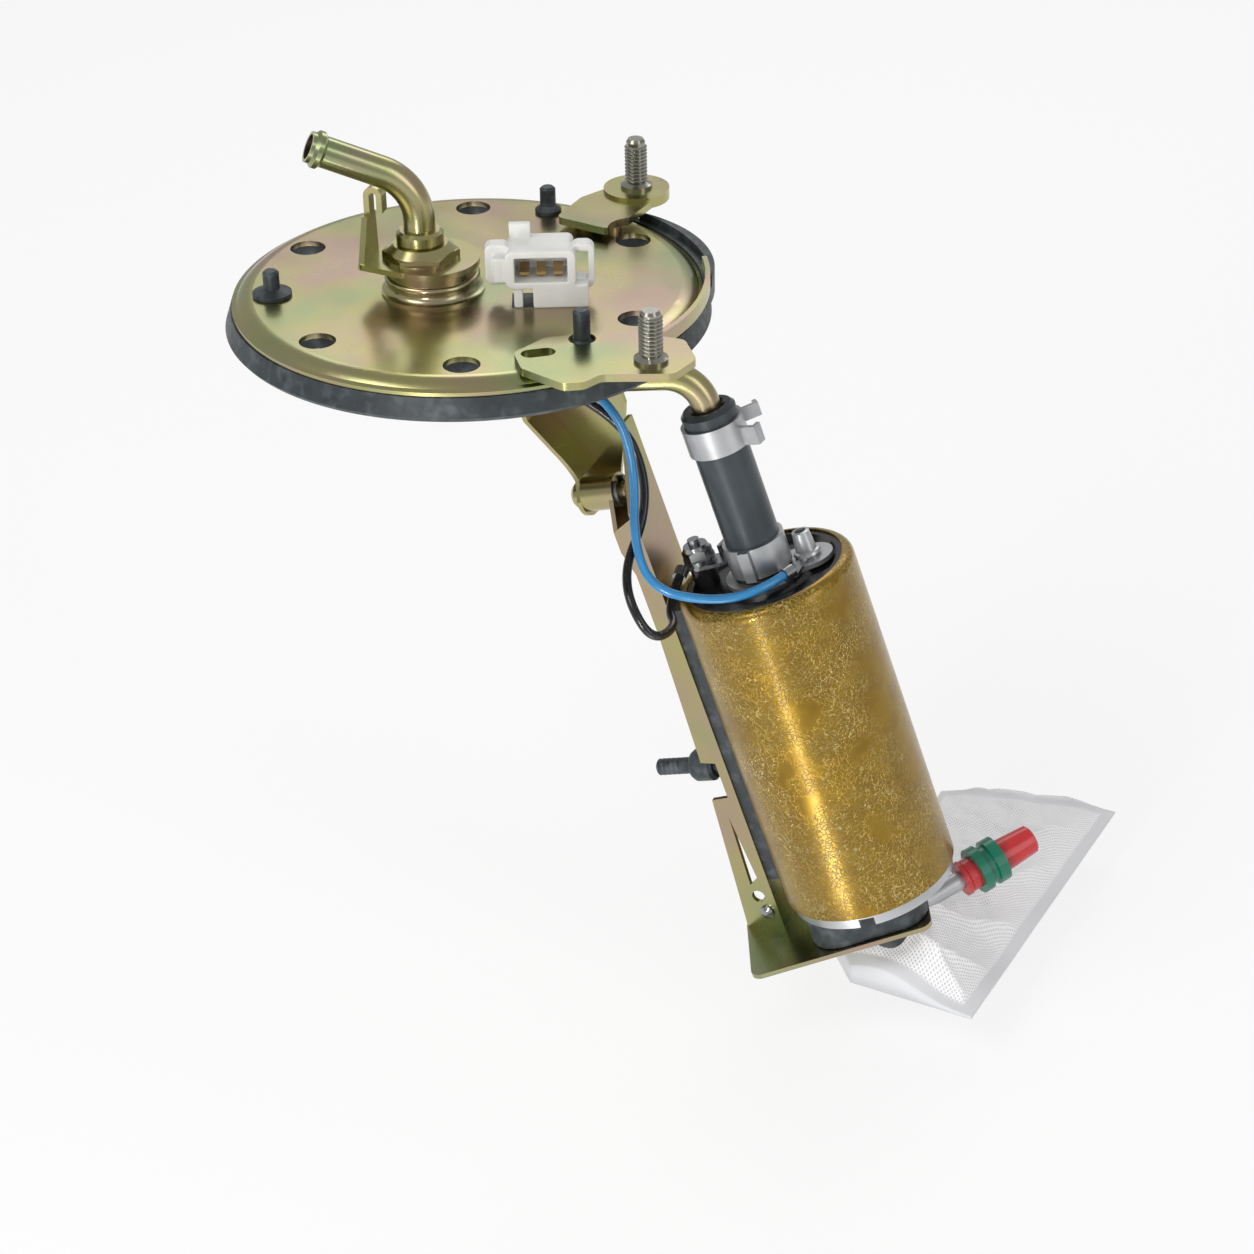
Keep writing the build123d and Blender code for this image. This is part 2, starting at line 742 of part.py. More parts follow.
def upper_bracket():
    """Angle bracket that hangs from the plate: a side wall for the pin and a back web."""
    high = 125
    back = 11
    front = -4.6
    left = wall_left - bracket_shift
    low = pivot_height - ear_radius - 1
    bent = side_plate([
        (wall_left, 15), (wall_right, 15), (wall_right, bracket_bend),
        (wall_right - bracket_shift, bracket_upright), (wall_right - bracket_shift, high),
        (left, high), (left, bracket_upright), (wall_left, bracket_bend),
    ], -40, 40)
    outline = make_face([
        ThreePointArc((0, front, pivot_height), (0, front / 2, low + 0.8), (0, 1, low)),
        Line((0, 1, low), (0, back, low - 2)),
        Line((0, back, low - 2), (0, back, high)),
        Line((0, back, high), (0, front + 5, high)),
        Line((0, front + 5, high), (0, front + 4, pivot_height + 13)),
        ThreePointArc((0, front + 4, pivot_height + 13), (0, front + 3.4, pivot_height + 7),
                      (0, front, pivot_height)),
    ])
    sides = Pos(-120, 0, 0) * extrude(outline, 120, dir=(1, 0, 0))
    wall = bent & sides
    web = side_plate([
        (wall_left, low - 2), (wall_right + 1.5, low - 2), (wall_right + 9, pivot_height + 8),
        (wall_right + 14, pivot_height + 20), (wall_right + 14, high), (left, high),
        (left, bracket_upright), (wall_left, bracket_bend),
    ], back - bracket_sheet, back)
    body = arm_frame * (wall + web)
    above = Pos(0, 0, 60 + flange_under) * Box(300, 300, 120)
    body -= above
    body += Pos(8, 4, flange_under - bracket_sheet / 2) * Box(24, 16, bracket_sheet)
    return body - arm_frame * cross_rod(pin_radius + fit_gap, wall_left - 2, wall_right + 1, pivot_height)


# ---- Pump can and covers (pump frame: origin on the can's top rim) ----
can_bottom = -can_length
can_inner = can_radius - can_wall
cover_radius = can_inner - fit_gap
cover_top = -cover_sink
cover_lip_radius = can_radius - can_edge - fit_gap
housing_top = can_bottom + inlet_housing_depth
ring_bottom = can_bottom - crimp_height


def pump_can():
    """Drawn steel tube; the top edge is rolled in over the cover."""
    edge = can_radius - can_edge
    mid = sin(pi / 4)
    outer_mid = (edge + can_edge * mid, 0, -can_edge + can_edge * mid)
    bend = can_edge - can_wall
    inner_mid = (edge + bend * mid, 0, -can_edge + bend * mid)
    return revolve_edges(
        Line((can_inner, 0, can_bottom), (can_radius, 0, can_bottom)),
        Line((can_radius, 0, can_bottom), (can_radius, 0, -can_edge)),
        ThreePointArc((can_radius, 0, -can_edge), outer_mid, (edge, 0, 0)),
        Line((edge, 0, 0), (edge, 0, -can_wall)),
        ThreePointArc((edge, 0, -can_wall), inner_mid, (can_inner, 0, -can_edge)),
        Line((can_inner, 0, -can_edge), (can_inner, 0, can_bottom)),
    )


plate_top = cover_top + 1.2


def top_cover():
    """Plastic end cover with the outlet spout and a raised boss under the hose."""
    body = revolve_outline([
        (outlet_bore, -cover_depth), (cover_radius, -cover_depth),
        (cover_radius, -can_edge - can_wall), (cover_lip_radius, -can_edge + 0.9),
        (cover_lip_radius, -0.5), (cover_lip_radius - 1.6, -0.5),
        (cover_lip_radius - 2.6, cover_top - 0.9), (boss_radius + 6, cover_top - 0.9),
        (boss_radius + 5, cover_top), (boss_radius, cover_top), (boss_radius, hose_seat - 0.3),
        (outlet_radius, hose_seat - 0.3), (outlet_radius, outlet_height - 1.5),
        (outlet_radius - 0.7, outlet_height), (outlet_bore, outlet_height),
    ])
    body += revolve_outline([(valve_seat_radius, -cover_depth), (outlet_bore + 0.5, -cover_depth),
                             (outlet_bore + 0.5, valve_seat), (valve_seat_radius, valve_seat)])
    for place, height in ((left_terminal, pad_height), (right_terminal, cover_top)):
        body += hole(3.4, place, cover_top - 2.5, height)
        body -= hole(terminal_radius + fit_gap, place, -cover_depth - 1, height + 1)
    return body


valve_radius = outlet_bore - 0.15
valve_base = valve_seat + 0.05


def check_valve():
    return revolve_outline([
        (0, valve_base), (valve_seat_radius - 0.2, valve_base), (valve_radius, valve_base + 1.1),
        (valve_radius, valve_base + valve_height - 2), (1.2, valve_base + valve_height - 2),
        (1.2, valve_base + valve_height), (0, valve_base + valve_height),
    ])


def coil_spring(radius, wire, length, turns):
    """Open coil about Z from 0 to length."""
    pitch = (length - 2 * wire) / turns
    path = Pos(0, 0, wire) * Helix(pitch=pitch, height=pitch * turns, radius=radius)
    section = Plane(origin=path @ 0, z_dir=path % 0) * Circle(wire)
    return sweep(section, path=path, is_frenet=True)


def check_spring():
    low = valve_base + valve_height - 2 + 0.05
    return Pos(0, 0, low) * coil_spring(1.85, 0.25, retainer_base - 0.1 - low, 4)


def valve_retainer():
    body = tube(outlet_bore - 0.02, 1.1, retainer_base, retainer_base + 1.2)
    return body


def inlet_housing():
    """Cast housing with the impeller pocket, the lower bearing seat and the inlet spout."""
    pocket_low = impeller_base - 0.15
    pocket_high = impeller_base + impeller_thickness + 0.15
    body = revolve_outline([
        (0, can_bottom - spout_length), (spout_radius, can_bottom - spout_length),
        (spout_radius, can_bottom), (can_inner - fit_gap, can_bottom),
        (can_inner - fit_gap, housing_top), (bearing_radius + 3, housing_top),
        (bearing_radius + 2, housing_top + 2.0), (0, housing_top + 2.0),
    ])
    body -= rod(impeller_radius + 0.2, pocket_low, pocket_high)
    body -= rod(bearing_radius, pocket_high - 1, housing_top + 3)
    body -= rod(3.4, can_bottom - spout_length - 1, pocket_low + 1)
    return body


spout_radius = neck_bore - fit_gap
impeller_base = can_bottom + 3.6


def lower_bearing():
    top = housing_top + 2.0
    return tube(bearing_radius - fit_gap, shaft_radius + running_gap, top - bearing_length, top)


def impeller():
    """Flat impeller; the rim is cut into vanes."""
    body = rod(impeller_radius, impeller_base, impeller_base + impeller_thickness)
    slot = Pos(impeller_radius - 1.2, 0, impeller_base + impeller_thickness / 2)
    cutter = slot * Box(3.2, 1.5, impeller_thickness + 1)
    cuts = [Rot(0, 0, index * 360 / impeller_vanes) * cutter for index in range(impeller_vanes)]
    body -= cuts
    return body - rod(shaft_radius, impeller_base - 1, impeller_base + impeller_thickness + 1)


def bottom_ring():
    body = tube(can_radius - 1.2, spout_radius + 9, ring_bottom, can_bottom)
    notch = Rot(0, 0, 262) * Pos(can_radius - 2, 0, (ring_bottom + can_bottom) / 2 - 1)
    return body - notch * Box(6, 4.2, crimp_height)


armature_base = can_bottom + 17.0
armature_top = armature_base + rotor_length
commutator_base = armature_top + 5.0
commutator_top = commutator_base + commutator_length
shaft_top = -cover_depth - 2.5


def rotor_shaft():
    return rod(shaft_radius, impeller_base, shaft_top)


def armature():
    """Stack with eight closed winding slots and rounded winding heads."""
    core = rod(rotor_radius, armature_base, armature_top)
    cutter = Pos(rotor_radius, 0, (armature_base + armature_top) / 2) * Box(5, 1.6, rotor_length + 1)
    core -= [Rot(0, 0, index * 45) * cutter for index in range(8)]
    head_radius = rotor_radius - 2.4
    for low, high in ((armature_base - 4, armature_base), (armature_top, armature_top + 4)):
        core += rod(head_radius, low, high)
    return core - rod(shaft_radius, armature_base - 5, armature_top + 5)


def commutator():
    body = rod(commutator_radius, commutator_base, commutator_top)
    cutter = Pos(commutator_radius, 0, (commutator_base + commutator_top) / 2)
    cuts = [Rot(0, 0, 22.5 + index * 45) * cutter * Box(2, 0.6, commutator_length + 1)
            for index in range(8)]
    body -= cuts
    return body - rod(shaft_radius, commutator_base - 1, commutator_top + 1)


def magnets():
    ring = tube(can_inner - fit_gap, magnet_inner, armature_base - 2, armature_top + 2)
    pair = []
    for turn in (90, 270):
        sector = [(0, 0)] + [ring_point(60, turn + angle) for angle in (-66, -33, 0, 33, 66)]
        pair.append(ring & plate(sector, armature_base - 3, armature_top - armature_base + 6))
    return Compound(pair)


brush_height = commutator_base + commutator_length / 2
brush_start = commutator_radius + running_gap
holder_low = commutator_base - 0.5


def brush_holder():
    """Ring with two radial brush guides and the upper bearing seat."""
    body = tube(can_inner - fit_gap, commutator_radius + 1.2, holder_low, commutator_top + 1)
    body += tube(can_inner - fit_gap, bearing_radius, commutator_top + 1, -cover_depth - fit_gap)
    guide_end = can_inner - fit_gap - holder_wall
    for side in (-1, 1):
        guide = Pos(side * guide_end / 2, 0, brush_height)
        body -= guide * Box(guide_end, brush_size + 0.1, brush_size + 0.1)
    return body


def upper_bearing():
    base = commutator_top + 1
    return tube(bearing_radius - fit_gap, shaft_radius + running_gap, base, base + bearing_length)


def brushes():
    pair = []
    for side in (-1, 1):
        place = Pos(side * (brush_start + brush_length / 2), 0, brush_height)
        block = place * Box(brush_length, brush_size, brush_size)
        pair.append(block - rod(brush_start, brush_height - 5, brush_height + 5))
    return Compound(pair)


def brush_springs():
    start = brush_start + brush_length + 0.05
    length = can_inner - fit_gap - holder_wall - 0.05 - start
    coil = coil_spring(1.8, 0.25, length, 4)
    right = Pos(start, 0, brush_height) * Rot(0, 90, 0) * coil
    left = Pos(-start, 0, brush_height) * Rot(0, -90, 0) * coil
    return Compound([right, left])


# ---- Pump top: retaining plate and terminals ----
def retaining_plate():
    """Plate under the hose: a round eye and one rounded arm below the rivet."""
    outline = Pos(8.6, 0.4, cover_top) * Rot(0, 0, 3) * SlotOverall(20, 12.5)
    body = extrude(outline, plate_top - cover_top)
    body += rod(10.2, cover_top, plate_top)
    body -= rod(boss_radius + 0.1, cover_top - 1, plate_top + 1)
    return body - hole(terminal_radius + fit_gap, right_terminal, cover_top - 1, plate_top + 1)


eyelet_base = pad_height + tab_thickness
washer_base = eyelet_base + eyelet_thickness
nut_base = washer_base + washer_thickness


def terminal_tab():
    """Strap on the left pad; its far end turns up as a small fin."""
    x, y = left_terminal
    body = Pos(x + 2.6, y - 0.6, pad_height) * Rot(0, 0, -8) * extrude(SlotOverall(11.5, 6.4), tab_thickness)
    body += Pos(x + 6.6, y + 1.2, pad_height + 2.0) * Rot(0, 0, -30) * Box(1.0, 3.6, 4.0)
    return body - hole(terminal_radius + fit_gap, left_terminal, 0, 9)


def wire_lug(terminal, base, ring_radius, wire_end, wire_way):
    """Flat ring with a crimp barrel that takes the end of a wire."""
    start = pump_frame.to_local_coords(wire_end)
    way = pump_frame.to_local_coords(wire_end + wire_way) - start
    barrel = Plane(origin=start, z_dir=way) * rod(barrel_radius, 0, barrel_length)
    heart = start + way * (barrel_length - 0.6)
    level = base + eyelet_thickness / 2
    run = hypot(terminal[0] - heart.X, terminal[1] - heart.Y)
    angle = degrees(atan2(terminal[1] - heart.Y, terminal[0] - heart.X))
    middle = Pos((terminal[0] + heart.X) / 2, (terminal[1] + heart.Y) / 2, level)
    body = hole(ring_radius, terminal, base, base + eyelet_thickness)
    body += middle * Rot(0, 0, angle) * Box(run, 2.6, eyelet_thickness)
    body += barrel
    return body - hole(terminal_radius + fit_gap, terminal, base - 4, base + 5)


def terminal_washer():
    low = washer_base
    body = hole(4.3, left_terminal, low, low + washer_thickness)
    return body - hole(terminal_radius + fit_gap, left_terminal, low - 1, low + 2)


def terminal_nut():
    hexagon = extrude(RegularPolygon(3.5, 6, major_radius=False), terminal_nut_height)
    hexagon &= revolve_outline([(0, -1), (9, -1), (3.6, terminal_nut_height * 0.7),
                                (3.2, terminal_nut_height), (0, terminal_nut_height)])
    body = Pos(left_terminal[0], left_terminal[1], nut_base) * hexagon
    return body - hole(terminal_radius + fit_gap, left_terminal, nut_base - 1, nut_base + 9)


def terminal_screw():
    low = -cover_depth + 0.5
    return hole(terminal_radius, left_terminal, low, nut_base + terminal_nut_height + 1.6)


lug_base = plate_top


def terminal_rivet():
    """Hollow rivet with a turned flange and a tapered barrel."""
    seat = lug_base + eyelet_thickness
    body = revolve_outline([
        (0, -cover_depth + 0.5), (terminal_radius, -cover_depth + 0.5),
        (terminal_radius, seat), (3.6, seat), (3.4, seat + 0.7),
        (2.8, seat + 1.0), (2.3, seat + 6.2), (1.5, seat + 6.4),
        (1.3, seat + 3.5), (0, seat + 3.5),
    ])
    return Pos(right_terminal[0], right_terminal[1], 0) * body


# ---- Wires from the grommet to the pump ----
def wire_start(offset):
    return Vector(socket_place[0] + offset, socket_place[1], flange_under - grommet_depth)


blue_points = [
    wire_start(3), Vector(22.5, -12, -18), Vector(37.5, -22, -26.5), Vector(41.5, -26, -41.5),
    Vector(40.5, -34, -57.5), Vector(45, -43, -67), Vector(60, -45, -69.5), Vector(71.5, -45.5, -67),
    pump_frame.from_local_coords(Vector(5.4, -11.8, 2.1)),
]
black_points = [
    wire_start(-3), Vector(16.5, -12, -20), Vector(38.5, -17, -32), Vector(44, -20.5, -45),
    Vector(43.5, -26, -56), Vector(38.5, -36.5, -62.5), Vector(38.8, -48, -67), Vector(44.5, -53, -76),
    Vector(51, -43, -78), pump_frame.from_local_coords(Vector(-26, -7.5, 1.2)),
    pump_frame.from_local_coords(Vector(-21.5, 1.0, 4.4)),
]


def wire_bends(points):
    """Largest bend that leaves a straight piece in the middle of every run."""
    bends = []
    for before, corner, after in zip(points, points[1:], points[2:]):
        run_in = corner - before
        run_out = after - corner
        half_turn = radians(run_in.get_angle(run_out)) / 2
        bends.append(0.45 * min(run_in.length, run_out.length) / tan(half_turn))
    return bends


def wire(name, points):
    bends = wire_bends(points)
    path = FilletPolyline(*points, radius=tuple(bends))
    body = swept_tube(path, wire_radius)
    expected = path.length * pi * wire_radius ** 2
    print(name, "bends", [round(bend, 1) for bend in bends], "length", round(path.length, 1),
          "volume", round(body.volume, 1), "of", round(expected, 1))
    return body


def last_way(points):
    return (points[-1] - points[-2]).normalized()


# ---- Hose and its clamps ----
def hose():
    low = hose_seat
    high = hose_top_height
    return revolve_outline([
        (hose_bore, low), (hose_radius, low), (hose_radius, high - 0.9),
        (hose_radius - 0.9, high), (hose_bore + 0.9, high), (hose_bore, high - 0.9),
    ])


band_inner = hose_radius + fit_gap


def lower_clamp():
    """Crimped band with one flattened ear."""
    low = hose_seat + 0.2
    body = tube(band_inner + band_thickness, band_inner, low, low + crimp_band_height)
    ear = Rot(0, 0, 250) * Pos(band_inner + band_thickness + 0.5, 0, low + crimp_band_height / 2)
    return body + ear * Box(1.6, 3.0, crimp_band_height)


def upper_clamp():
    """Spring band; its two bent ears stand off at the right."""
    low = clamp_band_base
    high = low + clamp_band_height
    body = tube(band_inner + band_thickness, band_inner, low, high)
    ear_length = 5.0
    for angle, height, width in ((-34, low + 2.6, 5.0), (14, low + 5.4, 3.6)):
        root = Rot(0, 0, angle) * Pos(band_inner + band_thickness + ear_length / 2 - 0.5, 0, height)
        body += root * Box(ear_length, 1.2, width)
        tip = Rot(0, 0, angle) * Pos(band_inner + band_thickness + ear_length - 1.0, 0.9, height)
        body += tip * Box(1.1, 2.6, width)
    return body


# ---- Strainer ----
can_foot = Vector(*pump_top) - pump_up * can_length
sock_level = can_foot.Z - sock_drop
sock_top = sock_level + sock_thickness / 2
neck_bottom = -(pump_top[2] - sock_top) / pump_up.Z


def strainer_neck():
    """Rubber neck on the inlet spout; its end is cut level with the sock."""
    body = tube(neck_radius, neck_bore, neck_bottom - 6, can_bottom - 0.2)
    body -= port_plane_local * rod(port_radius + fit_gap, 0, 30)
    body = pump_frame * body
    below = Pos(pump_top[0] + 20, pump_top[1], sock_top - 50) * Box(200, 200, 100)
    return body - below


port_height = can_bottom - 17.5
port_way = Vector(
    cos(radians(port_climb)) * cos(radians(port_turn)),
    cos(radians(port_climb)) * sin(radians(port_turn)),
    sin(radians(port_climb)),
)
port_start = Vector(*pump_top) + pump_up * port_height
port_plane = Plane(origin=port_start, z_dir=port_way)
port_plane_local = Plane(
    origin=pump_frame.to_local_coords(port_start),
    z_dir=pump_frame.to_local_coords(port_start + port_way) - pump_frame.to_local_coords(port_start),
)


def side_tube():
    return tube(port_radius, port_radius - port_wall, neck_bore + 0.6, port_length)


def port_cap():
    """Soft cap: a skirt, a parallel body and a tapered closed end."""
    bore = port_radius + 0.08
    return revolve_outline([
        (bore, cap_start), (cap_radius + 0.3, cap_start), (cap_radius + 0.3, cap_start + 1.2),
        (cap_radius, cap_start + 1.6), (cap_radius, ring_end + 0.5),
        (cap_radius - 0.6, cap_end - 0.6), (cap_radius - 1.2, cap_end), (0, cap_end),
        (0, cap_end - 1.4), (bore, cap_end - 1.4),
    ])


def cap_ring():
    """Clip ring with two ribs round the cap."""
    middle = (ring_start + ring_end) / 2
    rib = 2.6
    return revolve_outline([
        (cap_radius + fit_gap, ring_start), (ring_radius, ring_start),
        (ring_radius, ring_start + rib), (ring_radius - 1.0, ring_start + rib + 0.3),
        (ring_radius - 1.0, middle + 0.6), (ring_radius - 0.1, middle + 0.9),
        (ring_radius - 0.1, ring_end), (cap_radius + fit_gap, ring_end),
    ])


sock_reach = [(78.6, 70.6), (25.6, -27.4), (-5.4, -9.4), (-8.4, 2.6), (28.6, 83.6)]


def strainer_sock():
    sock_outline = [(can_foot.X + x, can_foot.Y + y) for x, y in sock_reach]
    body = plate(sock_outline, sock_level - sock_thickness / 2, sock_thickness, 4)
    rim_edges = body.edges().group_by(Axis.Z)[0] + body.edges().group_by(Axis.Z)[-1]
    return fillet(rim_edges, 2.4)


# ---- Nodes ----
keep("flange_plate", flange_plate())
keep("tank_gasket", tank_gasket())
keep("pull_nipples", pull_nipples())
keep("near_stud_bracket", near_bracket())
keep("far_stud_bracket", far_bracket())
studs = [
    stud(near_stud, near_lift, near_top, near_stud_height),
    stud(far_stud, far_lift, far_pad_top, far_stud_height),
]
keep("bracket_studs", Compound(studs))
keep("pipe_cup", pipe_cup())
keep("hose_hook_plate", hose_hook_plate())
keep("pipe_nut", pipe_nut())
keep("pipe_collar", pipe_collar())
keep("outlet_pipe", outlet_pipe())
keep("feed_pipe", feed_pipe())
keep("connector_housing", connector_housing())
keep("connector_terminals", connector_terminals())
keep("wire_grommet", wire_grommet())
keep("upper_bracket", upper_bracket())
keep("pivot_pin", pivot_pin(), arm_frame)
keep("pivot_sleeve", pivot_sleeve(), arm_frame)
keep("pivot_clip", pivot_clip(), arm_frame)
keep("arm_channel", arm_channel(), pump_frame)
keep("foot_rivet", foot_rivet(), arm_frame)
keep("pump_pad", pump_pad(), arm_frame)
keep("foot_cushion", foot_cushion(), pump_frame)
keep("pump_can", pump_can(), pump_frame)
keep("top_cover", top_cover(), pump_frame)
keep("check_valve", check_valve(), pump_frame)
keep("check_spring", check_spring(), pump_frame)
keep("valve_retainer", valve_retainer(), pump_frame)
keep("inlet_housing", inlet_housing(), pump_frame)
keep("lower_bearing", lower_bearing(), pump_frame)
keep("impeller", impeller(), pump_frame)
keep("bottom_ring", bottom_ring(), pump_frame)
keep("rotor_shaft", rotor_shaft(), pump_frame)
keep("armature", armature(), pump_frame)
keep("commutator", commutator(), pump_frame)
keep("magnets", magnets(), pump_frame)
keep("brush_holder", brush_holder(), pump_frame)
keep("upper_bearing", upper_bearing(), pump_frame)
keep("brushes", brushes(), pump_frame)
keep("brush_springs", brush_springs(), pump_frame)
keep("retaining_plate", retaining_plate(), pump_frame)
keep("terminal_tab", terminal_tab(), pump_frame)
keep("left_lug", wire_lug(left_terminal, eyelet_base, 3.4, black_points[-1], last_way(black_points)),
     pump_frame)
keep("right_lug", wire_lug(right_terminal, lug_base, 3.4, blue_points[-1], last_way(blue_points)),
     pump_frame)
keep("blue_wire", wire("blue_wire", blue_points))
keep("black_wire", wire("black_wire", black_points))
keep("terminal_washer", terminal_washer(), pump_frame)
keep("terminal_nut", terminal_nut(), pump_frame)
keep("terminal_screw", terminal_screw(), pump_frame)
keep("terminal_rivet", terminal_rivet(), pump_frame)
keep("hose", hose(), pump_frame)
keep("lower_clamp", lower_clamp(), pump_frame)
keep("upper_clamp", upper_clamp(), pump_frame)
keep("strainer_neck", strainer_neck())
keep("strainer_sock", strainer_sock())
keep("side_tube", side_tube(), port_plane)
keep("port_cap", port_cap(), port_plane)
keep("cap_ring", cap_ring(), port_plane)

for name, shape in nodes.items():
    export_step(shape, f"parts/{name}.step")
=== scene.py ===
import bpy
import json
import math
from mathutils import Matrix, Vector, noise


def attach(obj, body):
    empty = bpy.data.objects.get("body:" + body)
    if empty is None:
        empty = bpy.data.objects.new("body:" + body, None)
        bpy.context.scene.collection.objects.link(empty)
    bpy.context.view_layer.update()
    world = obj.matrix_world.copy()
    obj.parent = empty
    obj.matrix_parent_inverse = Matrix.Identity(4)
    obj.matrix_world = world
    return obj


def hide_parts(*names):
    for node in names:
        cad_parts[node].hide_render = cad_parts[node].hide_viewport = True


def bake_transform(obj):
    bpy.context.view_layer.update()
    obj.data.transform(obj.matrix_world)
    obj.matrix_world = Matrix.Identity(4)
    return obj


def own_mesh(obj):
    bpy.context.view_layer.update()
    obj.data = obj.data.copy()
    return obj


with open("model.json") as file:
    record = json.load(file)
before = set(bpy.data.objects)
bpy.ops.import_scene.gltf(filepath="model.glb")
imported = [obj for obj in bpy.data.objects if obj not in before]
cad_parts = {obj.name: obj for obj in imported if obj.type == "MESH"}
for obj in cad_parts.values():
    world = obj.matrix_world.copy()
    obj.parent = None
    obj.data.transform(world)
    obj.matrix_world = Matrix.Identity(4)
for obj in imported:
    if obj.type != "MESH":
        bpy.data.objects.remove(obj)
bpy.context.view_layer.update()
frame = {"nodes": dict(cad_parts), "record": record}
nodes = frame["nodes"]
slotOf = {part["node"]: part["material_slot"] for part in frame["record"]["subparts"]}
mm = 0.001  # outlines and points are given in mm, the rest in metres
print("loaded the packed model:", len(nodes), "nodes")


def deselectAll():
    if bpy.context.object and bpy.context.object.mode != "OBJECT":
        bpy.ops.object.mode_set(mode="OBJECT")
    bpy.ops.object.select_all(action="DESELECT")


def makeActive(obj):
    deselectAll()
    obj.select_set(True)
    bpy.context.view_layer.objects.active = obj


def enterEdit(obj):
    makeActive(obj)
    bpy.ops.object.mode_set(mode="EDIT")
    bpy.ops.mesh.select_mode(type="VERT")
    bpy.ops.mesh.select_all(action="SELECT")


def paint(piece, material):
    piece.data.materials.clear()
    piece.data.materials.append(material)


def addNode(tree, kind, **settings):
    node = tree.nodes.new(kind)
    for key, value in settings.items():
        setattr(node, key, value)
    return node


# a socket takes a link or a fixed value
def feed(tree, socket, value):
    if isinstance(value, bpy.types.NodeSocket):
        tree.links.new(value, socket)
    else:
        socket.default_value = value


def noiseTexture(tree, vector, scale, detail, **settings):
    node = addNode(tree, "ShaderNodeTexNoise", **settings)
    tree.links.new(vector, node.inputs["Vector"])
    feed(tree, node.inputs["Scale"], scale)
    node.inputs["Detail"].default_value = detail
    return node


def mapRange(tree, value, low, high, toLow=0.0, toHigh=1.0):
    node = addNode(tree, "ShaderNodeMapRange")
    tree.links.new(value, node.inputs["Value"])
    for name, number in (("From Min", low), ("From Max", high), ("To Min", toLow), ("To Max", toHigh)):
        feed(tree, node.inputs[name], number)
    return node.outputs["Result"]


def mathNode(tree, operation, first, second=None, **settings):
    node = addNode(tree, "ShaderNodeMath", operation=operation, **settings)
    feed(tree, node.inputs[0], first)
    if second is not None:
        feed(tree, node.inputs[1], second)
    return node.outputs["Value"]


def mixColours(tree, factor, first, second):
    node = addNode(tree, "ShaderNodeMix", data_type="RGBA")
    tree.links.new(factor, node.inputs["Factor"])
    tree.links.new(first, node.inputs["A"])
    tree.links.new(second, node.inputs["B"])
    return node.outputs["Result"]


def newGroup(name, inputs, outputs):
    tree = bpy.data.node_groups.new(name, "ShaderNodeTree")
    for label, kind, value in inputs:
        socket = tree.interface.new_socket(name=label, in_out="INPUT", socket_type=kind)
        if value is not None:
            socket.default_value = value
    for label, kind in outputs:
        tree.interface.new_socket(name=label, in_out="OUTPUT", socket_type=kind)
    return tree, addNode(tree, "NodeGroupInput"), addNode(tree, "NodeGroupOutput")


driftValues = {"mainDetail": 3.0, "mainFrom": 0.42, "mainTo": 0.62,
               "otherDetail": 2.0, "otherSeed": 4.7, "otherFrom": 0.5, "otherTo": 0.68}


# patches of a second and a third colour with soft edges
def makeDriftGroup(values):
    grey = (0.5, 0.5, 0.5, 1)
    tree, gin, gout = newGroup("colourDrift", [
        ("Vector", "NodeSocketVector", None), ("Scale", "NodeSocketFloat", 30.0),
        ("Main", "NodeSocketColor", grey), ("Second", "NodeSocketColor", grey),
        ("Third", "NodeSocketColor", grey)],
        [("Color", "NodeSocketColor")])
    vector, scale = gin.outputs["Vector"], gin.outputs["Scale"]
    broad = noiseTexture(tree, vector, scale, values["mainDetail"])
    other = noiseTexture(tree, vector, scale, values["otherDetail"], noise_dimensions="4D")
    other.inputs["W"].default_value = values["otherSeed"]
    toSecond = mapRange(tree, broad.outputs["Fac"], values["mainFrom"], values["mainTo"])
    toThird = mapRange(tree, other.outputs["Fac"], values["otherFrom"], values["otherTo"])
    ground = mixColours(tree, toSecond, gin.outputs["Main"], gin.outputs["Second"])
    tree.links.new(mixColours(tree, toThird, ground, gin.outputs["Third"]), gout.inputs["Color"])
    return tree


grainValues = {"detail": 6.0, "from": 0.3, "to": 0.7, "bumpDepth": 0.0002}


# fine grain: a height, and a roughness spread between two values
def makeGrainGroup(values):
    tree, gin, gout = newGroup("fineGrain", [
        ("Vector", "NodeSocketVector", None), ("Scale", "NodeSocketFloat", 400.0),
        ("Low", "NodeSocketFloat", 0.3), ("High", "NodeSocketFloat", 0.5)],
        [("Height", "NodeSocketFloat"), ("Roughness", "NodeSocketFloat")])
    fine = noiseTexture(tree, gin.outputs["Vector"], gin.outputs["Scale"], values["detail"]).outputs["Fac"]
    rough = mapRange(tree, fine, values["from"], values["to"], gin.outputs["Low"], gin.outputs["High"])
    tree.links.new(fine, gout.inputs["Height"])
    tree.links.new(rough, gout.inputs["Roughness"])
    return tree


driftGroup = makeDriftGroup(driftValues)
grainGroup = makeGrainGroup(grainValues)


def startMaterial(name):
    material = bpy.data.materials.new(name)
    material.use_nodes = True
    tree = material.node_tree
    coords = addNode(tree, "ShaderNodeTexCoord")
    return material, tree, tree.nodes["Principled BSDF"], coords.outputs["Object"]


def placeGroup(tree, group, vector, **values):
    node = addNode(tree, "ShaderNodeGroup", node_tree=group)
    tree.links.new(vector, node.inputs["Vector"])
    for key, value in values.items():
        node.inputs[key].default_value = value
    return node


def bumpFrom(tree, shader, height, strength, distance):
    bump = addNode(tree, "ShaderNodeBump")
    bump.inputs["Strength"].default_value = strength
    bump.inputs["Distance"].default_value = distance
    tree.links.new(height, bump.inputs["Height"])
    tree.links.new(bump.outputs["Normal"], shader.inputs["Normal"])


